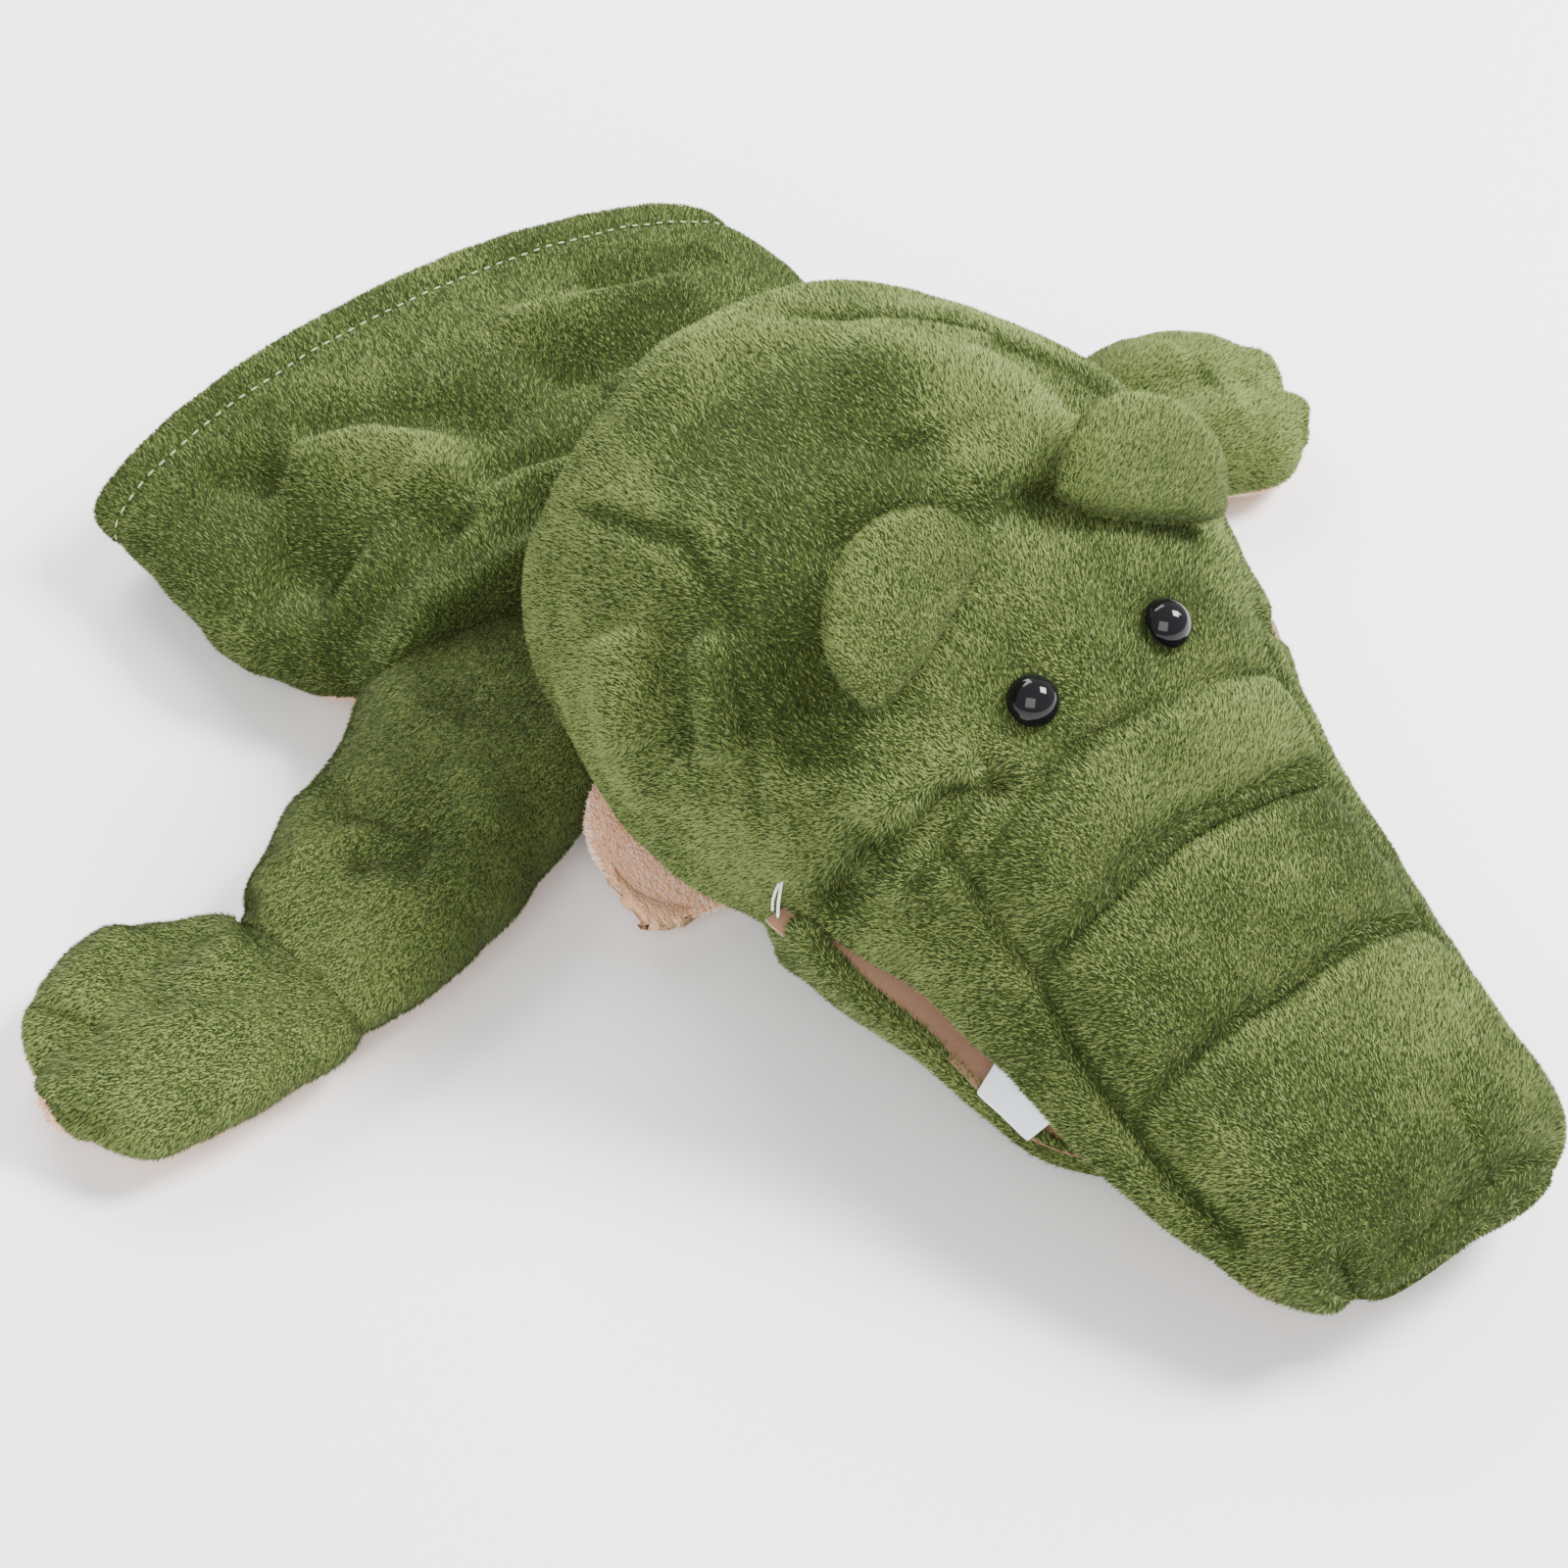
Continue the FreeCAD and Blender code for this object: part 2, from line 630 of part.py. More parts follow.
for side, sign, sections in (("right", -1, rightArmStations), ("left", 1, leftArmStations)):
    armYaw, pawYaw = size(side + "ArmYaw"), size(side + "PawYaw")
    shoulder = Vector(size("shoulderX"), sign * size("shoulderY"), size("armRest"))
    bend = (pawYaw - armYaw) / 2
    along = Rotation(Vector(0, 0, 1), armYaw)
    stuffed_limb(f"arm_{side}", sections, Placement(shoulder, along), (0, bend))
    wrist = shoulder + along.multVec(Vector(size(side + "ArmLength"), 0, 0))
    across = Rotation(Vector(0, 0, 1), armYaw + bend)
    start = wrist + across.multVec(Vector(size("wristGap"), 0, 0))
    stuffed_limb(f"paw_{side}", pawStations,
                 Placement(start, Rotation(Vector(0, 0, 1), pawYaw)), (-bend, 0))

# ---------------------------------------------------------------- check and export

doc.recompute()
for made in doc.Objects:
    if "Invalid" in made.State or "Error" in made.State:
        raise RuntimeError(f"{made.Name} failed: {made.State}")
os.makedirs("parts", exist_ok=True)
for stale in os.listdir("parts"):
    if stale[:-5] not in subparts:
        os.remove(os.path.join("parts", stale))
for node, made in subparts.items():
    shape = made.Shape
    if shape.isNull() or not shape.isValid() or not shape.Solids:
        raise RuntimeError(f"{node} has no valid solid")
    shape.exportStep(os.path.join("parts", node + ".step"))
    box = shape.optimalBoundingBox(False)
    print(f"{node:22s} {len(shape.Solids)} solid {shape.Volume / 1000:8.2f} cm3 "
          f"x {box.XMin:7.1f} {box.XMax:7.1f} y {box.YMin:7.1f} {box.YMax:7.1f} "
          f"z {box.ZMin:6.1f} {box.ZMax:6.1f}")
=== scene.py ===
import math
import bpy
import numpy as np
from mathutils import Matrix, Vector, noise


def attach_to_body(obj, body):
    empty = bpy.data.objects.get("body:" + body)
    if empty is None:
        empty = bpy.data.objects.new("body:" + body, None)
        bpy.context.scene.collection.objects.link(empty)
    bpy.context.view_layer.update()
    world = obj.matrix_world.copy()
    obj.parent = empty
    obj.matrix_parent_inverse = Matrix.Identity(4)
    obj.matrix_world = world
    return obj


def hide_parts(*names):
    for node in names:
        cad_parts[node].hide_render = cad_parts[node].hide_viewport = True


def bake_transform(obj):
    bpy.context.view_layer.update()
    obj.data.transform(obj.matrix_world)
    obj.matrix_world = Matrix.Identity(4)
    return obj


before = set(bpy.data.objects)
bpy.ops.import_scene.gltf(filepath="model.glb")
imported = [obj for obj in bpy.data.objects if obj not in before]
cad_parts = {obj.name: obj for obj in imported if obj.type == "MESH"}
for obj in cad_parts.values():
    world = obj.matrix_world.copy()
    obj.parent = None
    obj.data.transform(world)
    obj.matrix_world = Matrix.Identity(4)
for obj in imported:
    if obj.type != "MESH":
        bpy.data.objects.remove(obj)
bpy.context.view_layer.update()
mm = 0.001  # shapes below are in millimetres, in the frame of the CAD model


# ---- curves and grids

def curveThrough(at, values, x):
    # smooth cubic curve through (at, values), without overshoot at the ends
    at, values = np.asarray(at, float), np.asarray(values, float)
    slope = np.gradient(values, at)
    i = np.clip(np.searchsorted(at, x) - 1, 0, len(at) - 2)
    step = at[i + 1] - at[i]
    t = np.clip((x - at[i]) / step, 0, 1)
    a, b = values[i], values[i + 1]
    c, d = slope[i] * step, slope[i + 1] * step
    return (a * (1 + 2 * t) * (1 - t) ** 2 + c * t * (1 - t) ** 2
            + b * t * t * (3 - 2 * t) + d * t * t * (t - 1))


def smoothStep(low, high, x):
    t = np.clip((x - low) / (high - low), 0, 1)
    return t * t * (3 - 2 * t)


def gridFaces(rows, columns, closed=False):
    faces = []
    for i in range(rows - 1):
        for j in range(columns if closed else columns - 1):
            k = (j + 1) % columns
            faces.append((i * columns + j, (i + 1) * columns + j,
                          (i + 1) * columns + k, i * columns + k))
    return faces


def gridNormals(points, closed=False):
    # outward normals of a grid of points, shaped (rows, columns, 3)
    along = np.gradient(points, axis=0)
    if closed:
        across = (np.roll(points, -1, axis=1) - np.roll(points, 1, axis=1)) / 2
    else:
        across = np.gradient(points, axis=1)
    normals = np.cross(along, across)
    return normals / np.maximum(np.linalg.norm(normals, axis=2, keepdims=True), 1e-9)


def addMesh(name, points, faces):
    mesh = bpy.data.meshes.new(name)
    mesh.from_pydata((np.asarray(points).reshape(-1, 3) * mm).tolist(), [], faces)
    mesh.update()
    mesh.shade_smooth()
    piece = bpy.data.objects.new(name, mesh)
    bpy.context.collection.objects.link(piece)
    return piece


def addNap(piece, directions):
    # which way the pile is brushed, kept on the mesh for the fibres to follow
    layer = piece.data.attributes.new("nap", "FLOAT_VECTOR", "POINT")
    layer.data.foreach_set("vector", np.asarray(directions, float).ravel())


def addTone(piece, tones):
    # how light the pile looks, from about -0.5 to 0.5
    layer = piece.data.attributes.new("tone", "FLOAT", "POINT")
    layer.data.foreach_set("value", np.asarray(tones, float).ravel())


# tones of the pile: random clouds, with painted shade in seams and hollows (seam, hollow) and painted
# highlight on ridges (ridge)
toneLook = {
    "strength": 1.25, "seam": -0.85, "hollow": -0.07, "ridge": 0.035,  # the last two per mm of height
    "seamWidth": 3.5, "seamReach": 0.62, "foldReach": 0.9,
    "clouds": ((30, 41, 0.22), (12, 42, 0.14)),  # size, seed, amount
}


def spotTones(points, spots):
    # brushed patches and painted shade: (centre, radius, amount)
    tones = sum(lumps(points, size, seed) * amount for size, seed, amount in toneLook["clouds"])
    for centre, radius, amount in spots:
        apart = np.sum((points - np.array(centre, float)) ** 2, axis=2)
        tones += toneLook["strength"] * amount * np.exp(-apart / radius ** 2)
    return tones


def pathDistance(points, path):
    # distance of each point from a path, and the share of the path passed, from 0 to 1
    path = np.asarray(path, float)
    lengths = np.linalg.norm(np.diff(path, axis=0), axis=1)
    passed = np.concatenate([[0], np.cumsum(lengths)])
    nearest = np.full(points.shape[:-1], 1e9)
    share = np.zeros(points.shape[:-1])
    for a, b, length, before in zip(path, path[1:], lengths, passed):
        t = np.clip(((points - a) @ (b - a)) / length ** 2, 0, 1)
        distance = np.linalg.norm(points - (a + t[..., None] * (b - a)), axis=-1)
        closer = distance < nearest
        nearest = np.where(closer, distance, nearest)
        share = np.where(closer, (before + t * length) / passed[-1], share)
    return nearest, share


def crease(height, width, path, fade=0.15):
    # a fold, seam or dimple along a path; its ends fade out over this share of its length
    return {"height": height, "width": width, "path": path, "fade": fade}


def creasesNear(points, folds):
    # each fold, with the points' distances from it and its strength beside each point
    for fold in folds:
        distance, share = pathDistance(points, fold["path"])
        fade = fold["fade"]
        yield fold, distance, smoothStep(0, fade, share) * smoothStep(0, fade, 1 - share) if fade else 1


def foldShading(points, folds):
    # painted shade: seams and hollows are darkened; painted highlight: ridges are lightened
    tones = np.zeros(points.shape[:-1])
    for fold, distance, ends in creasesNear(points, folds):
        narrow = fold["width"] < toneLook["seamWidth"]
        if fold["height"] >= 0:
            amount = toneLook["ridge"] * fold["height"]
        else:
            amount = toneLook["seam"] if narrow else toneLook["hollow"] * abs(fold["height"])
        reach = fold["width"] * (toneLook["seamReach"] if narrow else toneLook["foldReach"])
        tones += toneLook["strength"] * amount * np.exp(-(distance / reach) ** 2) * ends
    return tones


def relief(points, folds):
    # height of the folds, seams and dimples at each point
    height = np.zeros(points.shape[:-1])
    for fold, distance, ends in creasesNear(points, folds):
        height += fold["height"] * np.exp(-(distance / fold["width"]) ** 2) * ends
    return height


def lumps(points, size, seed):
    # soft random height between -1 and 1
    flat = points.reshape(-1, 3)
    offset = Vector((seed * 7.1, seed * 3.3, seed * 5.7))
    heights = [noise.noise(Vector(p) / size + offset) for p in flat.tolist()]
    return np.array(heights).reshape(points.shape[:-1])


# ---- shader maths

class Link:
    # one socket of a node tree, with the usual operators
    def __init__(self, tree, socket):
        self.tree, self.socket = tree, socket

    def math(self, operation, *others):
        return addNode(self.tree, "ShaderNodeMath", {"operation": operation},
                       {0: self, **{i + 1: other for i, other in enumerate(others)}})

    def __add__(self, other):
        return self.math("ADD", other)

    def __radd__(self, other):
        return self.math("ADD", other)

    def __mul__(self, other):
        return self.math("MULTIPLY", other)

    def __rsub__(self, other):
        return addNode(self.tree, "ShaderNodeMath", {"operation": "SUBTRACT"}, {0: other, 1: self})

    def above(self, level, soft):
        # 0 below level, 1 above it, with a soft step
        return addNode(self.tree, "ShaderNodeMapRange", {"interpolation_type": "SMOOTHSTEP"},
                       {"Value": self, "From Min": level - soft, "From Max": level + soft})


def addNode(tree, kind, settings=None, inputs=None, output=0):
    # any node: its settings first, then the values or links of its sockets
    node = tree.nodes.new(kind)
    for name, value in (settings or {}).items():
        if name == "stops":
            ramp = node.color_ramp
            while len(ramp.elements) < len(value):
                ramp.elements.new(0.5)
            for element, (place, colour) in zip(ramp.elements, value):
                element.position, element.color = place, (*colour, 1)
        else:
            setattr(node, name, value)
    for name, value in (inputs or {}).items():
        if isinstance(value, Link):
            tree.links.new(value.socket, node.inputs[name])
        else:
            node.inputs[name].default_value = value
    return Link(tree, node.outputs[output])


def mixColours(tree, share, first, second):
    def four(value):
        return value if isinstance(value, Link) else (*value, 1)
    return addNode(tree, "ShaderNodeMix", {"data_type": "RGBA", "blend_type": "MIX"},
                   {0: share, 6: four(first), 7: four(second)}, output=2)


def newMaterial(name, values):
    material = bpy.data.materials.new(name)
    material.use_nodes = True
    shader = material.node_tree.nodes["Principled BSDF"]
    for label, value in values.items():
        shader.inputs[label].default_value = (*value, 1) if isinstance(value, tuple) else value
    return material, material.node_tree, shader


def linkShader(tree, shader, links, bump=None):
    # bump: (strength, distance, height)
    if bump:
        labels = ("Strength", "Distance", "Height")
        links["Normal"] = addNode(tree, "ShaderNodeBump", {}, dict(zip(labels, bump)))
    for label, link in links.items():
        tree.links.new(link.socket, shader.inputs[label])


def placeOnPiece(tree):
    return addNode(tree, "ShaderNodeTexCoord", output=3)


def noiseAt(tree, place, scale, detail=3.0, stretch=(1, 1, 1), turn=(0, 0, 0)):
    mapped = addNode(tree, "ShaderNodeMapping", {"vector_type": "POINT"},
                     {"Vector": place, "Scale": stretch, "Rotation": turn})
    return addNode(tree, "ShaderNodeTexNoise", {"noise_dimensions": "3D"},
                   {"Vector": mapped, "Scale": scale, "Detail": detail, "Roughness": 0.6})


# ---- materials

plushLook = {
    "deep": (0.010, 0.017, 0.002),
    "body": (0.045, 0.066, 0.010),
    "light": (0.120, 0.160, 0.040),
    "patch": 38.0,     # per metre: brushed patches about 25 mm across
    "strand": 900.0,   # per metre: strands about 1 mm apart
    "sheen": 0.12,
}
bellyLook = {
    "deep": (0.62, 0.27, 0.12),
    "body": (0.80, 0.44, 0.26),
    "light": (0.90, 0.66, 0.52),
    "patch": 30.0,
    "strand": 900.0,
    "sheen": 0.5,
}


def plushMaterial(name, look):
    material, tree, shader = newMaterial(name, {
        "Roughness": 0.9, "Specular IOR Level": 0.2, "Sheen Weight": look["sheen"],
        "Sheen Roughness": 0.45, "Sheen Tint": (0.75, 0.85, 0.5)})
    place = placeOnPiece(tree)
    patches = noiseAt(tree, place, look["patch"], 2.0)
    streaks = noiseAt(tree, place, look["strand"], 3.0, (0.35, 1, 1), (0, 0, 0.5))
    grain = noiseAt(tree, place, look["strand"] * 1.9, 1.0)
    brushed = patches.above(0.52, 0.16)
    strand = (streaks * 0.65 + grain * 0.35).above(0.5, 0.14)
    base = mixColours(tree, brushed, look["body"], look["light"])
    base = mixColours(tree, 0.45, base, look["body"])
    colour = mixColours(tree, (1 - strand) * 0.6, base, look["deep"])
    linkShader(tree, shader, {"Base Color": colour}, (0.6, 0.0008, strand + grain * 0.5))
    return material


def plainMaterial(name, colour, roughness=0.9, sheen=0.0):
    return newMaterial(name, {"Base Color": colour, "Roughness": roughness, "Specular IOR Level": 0.25,
                              "Sheen Weight": sheen, "Sheen Tint": colour})[0]


def knitMaterial(name, first, second, rib):
    # a fine knit: rows of loops crossed by wales
    material, tree, shader = newMaterial(name, {"Roughness": 0.85, "Sheen Weight": 0.3})
    place = placeOnPiece(tree)
    wales, rows = (addNode(tree, "ShaderNodeTexWave", {"wave_type": "BANDS", "bands_direction": way},
                           {"Vector": place, "Scale": scale, "Distortion": 1.5, "Detail": 1.0,
                            "Detail Scale": 2.0}, output=1) for way, scale in (("X", rib), ("Y", rib * 0.8)))
    knit = wales * 0.6 + rows * 0.4
    cloud = noiseAt(tree, place, 60.0, 3.0)
    colour = mixColours(tree, knit * 0.7 + cloud * 0.3, first, second)
    linkShader(tree, shader, {"Base Color": colour}, (0.5, 0.0004, knit))
    return material


print("materials")
plush = plushMaterial("greenPlush", plushLook)
bellyPlush = plushMaterial("peachPlush", bellyLook)
tricot = knitMaterial("brownTricot", (0.20, 0.095, 0.045), (0.37, 0.20, 0.12), 900.0)
fibreDark = plainMaterial("pileDeep", (0.012, 0.020, 0.002))
fibreMid = plainMaterial("pileBody", (0.043, 0.064, 0.010))
fibreLight = plainMaterial("pileTips", (0.165, 0.216, 0.062), 0.85, 0.06)
peachDark = plainMaterial("peachDeep", (0.76, 0.36, 0.17))
peachMid = plainMaterial("peachBody", (0.88, 0.52, 0.32))
peachLight = plainMaterial("peachTips", (0.93, 0.72, 0.60), 0.75, 0.4)


def blackEye():
    material, tree, shader = newMaterial("eyeBlack", {
        "Base Color": (0.004, 0.004, 0.005), "Specular IOR Level": 0.22, "Coat Weight": 0.08})
    cloud = noiseAt(tree, placeOnPiece(tree), 400.0)
    linkShader(tree, shader, {"Roughness": 0.05 + cloud * 0.06})
    return material


def feltMaterial():
    material, tree, shader = newMaterial("whiteFelt", {"Roughness": 0.95, "Sheen Weight": 0.4})
    place = placeOnPiece(tree)
    hairs = noiseAt(tree, place, 1500.0, 4.0, (0.3, 1, 1))
    cloud = noiseAt(tree, place, 220.0, 3.0)
    colour = mixColours(tree, hairs * 0.6 + cloud * 0.4, (0.60, 0.64, 0.70), (0.82, 0.85, 0.88))
    linkShader(tree, shader, {"Base Color": colour}, (0.5, 0.0004, hairs))
    return material


def mouldedMaterial():
    material, tree, shader = newMaterial("mouldedWhite", {"Base Color": (0.75, 0.75, 0.72)})
    grain = noiseAt(tree, placeOnPiece(tree), 1800.0)
    linkShader(tree, shader, {"Roughness": 0.4 + grain * 0.2})
    return material


eyeBlack, felt, moulded = blackEye(), feltMaterial(), mouldedMaterial()
thread = plainMaterial("whiteThread", (0.78, 0.80, 0.76), 0.7)
hemThread = plainMaterial("hemThread", (0.30, 0.36, 0.20), 0.8)

# ---- pile: short fibres grown over a plush skin

pileLook = {
    "density": 1.25e7,   # fibres per square metre
    "length": 0.00105,
    "width": 0.00027,
    "lean": 1.3,        # along the nap, against 1 for straight out
    "stray": 0.55,
    "seed": 4,
    "most": 190000,      # fibres in one mesh
    "softness": 0.22,    # how gradually one tone gives way to the next
    "least": 0.25,       # share of a tone's fibres that grow where it is weakest
}


def newTree(name, floats, integers=()):
    # a Geometry Nodes group with named inputs, and the links that come from them
    tree = bpy.data.node_groups.new(name, "GeometryNodeTree")
    kinds = [("Geometry", "Geometry")] + [(label, "Float") for label in floats]
    for label, kind in kinds + [(label, "Int") for label in integers]:
        tree.interface.new_socket(label, in_out="INPUT", socket_type="NodeSocket" + kind)
    tree.interface.new_socket("Geometry", in_out="OUTPUT", socket_type="NodeSocketGeometry")
    source = tree.nodes.new("NodeGroupInput")
    return tree, {item.name: Link(tree, source.outputs[item.name]) for item in tree.interface.items_tree
                  if item.in_out == "INPUT"}


def pileTree(name, tones):
    # one pass of fibres for each tone: (material, share, side), with side -1 in dark patches, 1 in light
    tree, given = newTree(name, ("Density", "Length", "Width", "Lean", "Stray"), ("Seed",))
    place = addNode(tree, "GeometryNodeInputPosition")
    nap = addNode(tree, "GeometryNodeInputNamedAttribute", {"data_type": "FLOAT_VECTOR"},
                  {"Name": "nap"})
    noisy = addNode(tree, "ShaderNodeTexNoise", {}, {"Vector": place, "Scale": 110.0, "Detail": 2.0})
    tone = addNode(tree, "GeometryNodeInputNamedAttribute", {"data_type": "FLOAT"}, {"Name": "tone"})
    patches = noisy * 0.45 + 0.275 + tone
    circle = addNode(tree, "GeometryNodeMeshCircle", {"fill_type": "NGON"}, {"Vertices": 3})
    moved = addNode(tree, "GeometryNodeTransform", {}, {"Geometry": circle, "Translation": (0.5, 0, 0)})
    joined = tree.nodes.new("GeometryNodeJoinGeometry")
    for number, (material, share, side) in enumerate(tones):
        mask = addNode(tree, "ShaderNodeMapRange", {}, {
            "Value": patches, "From Min": 0.5 - pileLook["softness"], "From Max": 0.5 + pileLook["softness"],
            "To Min": share if side < 0 else share * pileLook["least"],
            "To Max": share if side > 0 else share * pileLook["least"]})
        scatter = addNode(tree, "GeometryNodeDistributePointsOnFaces", {"distribute_method": "RANDOM"}, {
            "Mesh": given["Geometry"], "Density": mask * given["Density"],
            "Seed": given["Seed"] + number})
        outward = Link(tree, scatter.socket.node.outputs["Normal"])
        sway = addNode(tree, "FunctionNodeRandomValue", {"data_type": "FLOAT_VECTOR"}, {
            "Min": (-1, -1, -1), "Max": (1, 1, 1), "Seed": given["Seed"] + number + 20})
        along = addNode(tree, "ShaderNodeVectorMath", {"operation": "SCALE"},
                        {0: nap, "Scale": given["Lean"]})
        stray = addNode(tree, "ShaderNodeVectorMath", {"operation": "SCALE"},
                        {0: sway, "Scale": given["Stray"]})
        aim = addNode(tree, "ShaderNodeVectorMath", {"operation": "ADD"}, {0: outward, 1: along})
        aim = addNode(tree, "ShaderNodeVectorMath", {"operation": "ADD"}, {0: aim, 1: stray})
        turned = addNode(tree, "FunctionNodeAlignRotationToVector", {"axis": "X"}, {"Vector": aim})
        turned = addNode(tree, "FunctionNodeAlignRotationToVector", {"axis": "Z", "pivot_axis": "X"},
                         {"Rotation": turned, "Vector": outward})
        vary = addNode(tree, "FunctionNodeRandomValue", {"data_type": "FLOAT"}, {
            2: 0.6, 3: 1.25, "Seed": given["Seed"] + number + 40}, output=1)
        shape = addNode(tree, "ShaderNodeCombineXYZ", {}, {
            "X": given["Length"] * vary * (1 / 1.5), "Y": given["Width"] * vary * (1 / 1.732), "Z": 1.0})
        fibres = addNode(tree, "GeometryNodeInstanceOnPoints", {}, {
            "Points": scatter, "Instance": moved, "Rotation": turned, "Scale": shape})
        real = addNode(tree, "GeometryNodeRealizeInstances", {}, {"Geometry": fibres})
        coloured = addNode(tree, "GeometryNodeSetMaterial", {}, {"Geometry": real, "Material": material})
        tree.links.new(coloured.socket, joined.inputs[0])
    result = tree.nodes.new("NodeGroupOutput")
    tree.links.new(joined.outputs[0], result.inputs[0])
    return tree


def bakeNodes(name, piece, tree, settings):
    # runs a node tree on a copy of the piece and keeps the result as a plain mesh
    copy = piece.copy()
    bpy.context.collection.objects.link(copy)
    for old in list(copy.modifiers):
        copy.modifiers.remove(old)
    modifier = copy.modifiers.new("nodes", "NODES")
    modifier.node_group = tree
    for item in tree.interface.items_tree:
        if item.in_out == "INPUT" and item.name in settings:
            modifier[item.identifier] = settings[item.name]
    graph = bpy.context.evaluated_depsgraph_get()
    mesh = bpy.data.meshes.new_from_object(copy.evaluated_get(graph))
    bpy.data.objects.remove(copy)
    mesh.name = name
    made = bpy.data.objects.new(name, mesh)
    bpy.context.collection.objects.link(made)
    return made


greenTree = pileTree("greenPile", [(fibreDark, 0.40, -1), (fibreMid, 0.42, -1), (fibreLight, 0.46, 1)])
peachTree = pileTree("peachPile", [(peachDark, 0.30, -1), (peachMid, 0.42, -1), (peachLight, 0.40, 1)])


def growPile(piece, tree, attach, density=1.0):
    # the pile of a piece, in parts that each move as the piece does
    made = bakeNodes(piece.name + "Pile", piece, tree, {
        "Density": pileLook["density"] * density,
        **{label: pileLook[label.lower()] for label in ("Length", "Width", "Lean", "Stray", "Seed")}})
    mesh = made.data
    count = len(mesh.polygons)
    places = np.empty(len(mesh.vertices) * 3, np.float32)
    mesh.vertices.foreach_get("co", places)
    places = places.reshape(-1, 3)
    corners = np.empty(count * 3, np.int32)
    mesh.polygons.foreach_get("vertices", corners)
    corners = corners.reshape(-1, 3)
    tones = np.empty(count, np.int32)
    mesh.polygons.foreach_get("material_index", tones)
    materials = list(mesh.materials)
    name = made.name
    bpy.data.objects.remove(made)
    order = np.argsort(places[corners[:, 0], 0], kind="stable")
    for number, chosen in enumerate(np.array_split(order, max(1, math.ceil(count / pileLook["most"])))):
        points = places[corners[chosen]].reshape(-1, 3)
        part = bpy.data.meshes.new(f"{name}{number + 1}")
        part.vertices.add(len(points))
        part.vertices.foreach_set("co", points.ravel())
        part.loops.add(len(points))
        part.loops.foreach_set("vertex_index", np.arange(len(points), dtype=np.int32))
        part.polygons.add(len(chosen))
        part.polygons.foreach_set("loop_start", np.arange(len(chosen), dtype=np.int32) * 3)
        for material in materials:
            part.materials.append(material)
        part.polygons.foreach_set("material_index", tones[chosen])
        part.update(calc_edges=True)
        piecePart = bpy.data.objects.new(part.name, part)
        bpy.context.collection.objects.link(piecePart)
        attach(piecePart)
    print("pile", name, count)


# ---- head skin: crown, cheeks, face, quilted snout, lips and nose as one sewn shell

headLook = {
    # x: (centre height, half width, half height) of the shell's sections
    "stations": {103: (62, 20, 19), 106: (62, 27, 25), 118: (60, 50, 42), 143: (58, 64, 52),
                 168: (57, 69, 55), 193: (54, 67, 52), 218: (49, 59, 47), 238: (41.5, 51, 40.5),
                 256: (33, 49, 32), 284: (24.5, 46.5, 22), 307: (20, 41, 17), 321: (18, 36, 13.5),
                 328: (17, 24, 8)},
    "hinge": (218, 45), "palateSlope": 16.5, "gapeSlope": 29.5, "neckSlope": 28, "neck": (140, 38),
    "lip": 3.2, "noseTaper": 0.10, "quiltBulge": 5.6, "quiltSeams": (239, 257, 284.5, 330),
    "quiltHalf": 38, "gusset": 0.354, "roll": 7,
}
headAt = list(headLook["stations"])
headShape = np.array(list(headLook["stations"].values()), float)
hingeX, hingeZ = headLook["hinge"]
palateTan = math.tan(math.radians(headLook["palateSlope"]))
gapeTan = math.tan(math.radians(headLook["gapeSlope"]))
neckX, neckZ = headLook["neck"]
neckSlope = math.radians(headLook["neckSlope"])
neckTan = math.tan(neckSlope)


def headSection(x):
    return [curveThrough(headAt, headShape[:, i], x) for i in range(3)]


def palateHeight(x):
    return hingeZ - palateTan * (x - hingeX)


def gapeHeight(x):
    return hingeZ - gapeTan * (x - hingeX)


def headEdgeHeight(x):
    # the lip in front of the hinge, and the gusset's and the neck's seams behind it
    behind = np.maximum(hingeZ - headLook["gusset"] * (hingeX - x), neckZ - neckTan * (x - neckX))
    return np.where(x > hingeX, palateHeight(x), behind)


def spacedRows(start, end, step, endStep):
    # rows along a piece, closer together at its two rounded ends
    rows = [start]
    while rows[-1] < end:
        near = min(rows[-1] - start, end - rows[-1])
        rows.append(rows[-1] + endStep + (step - endStep) * min(1, max(0, near) / 12))
    return np.array(rows[:-1] + [end])


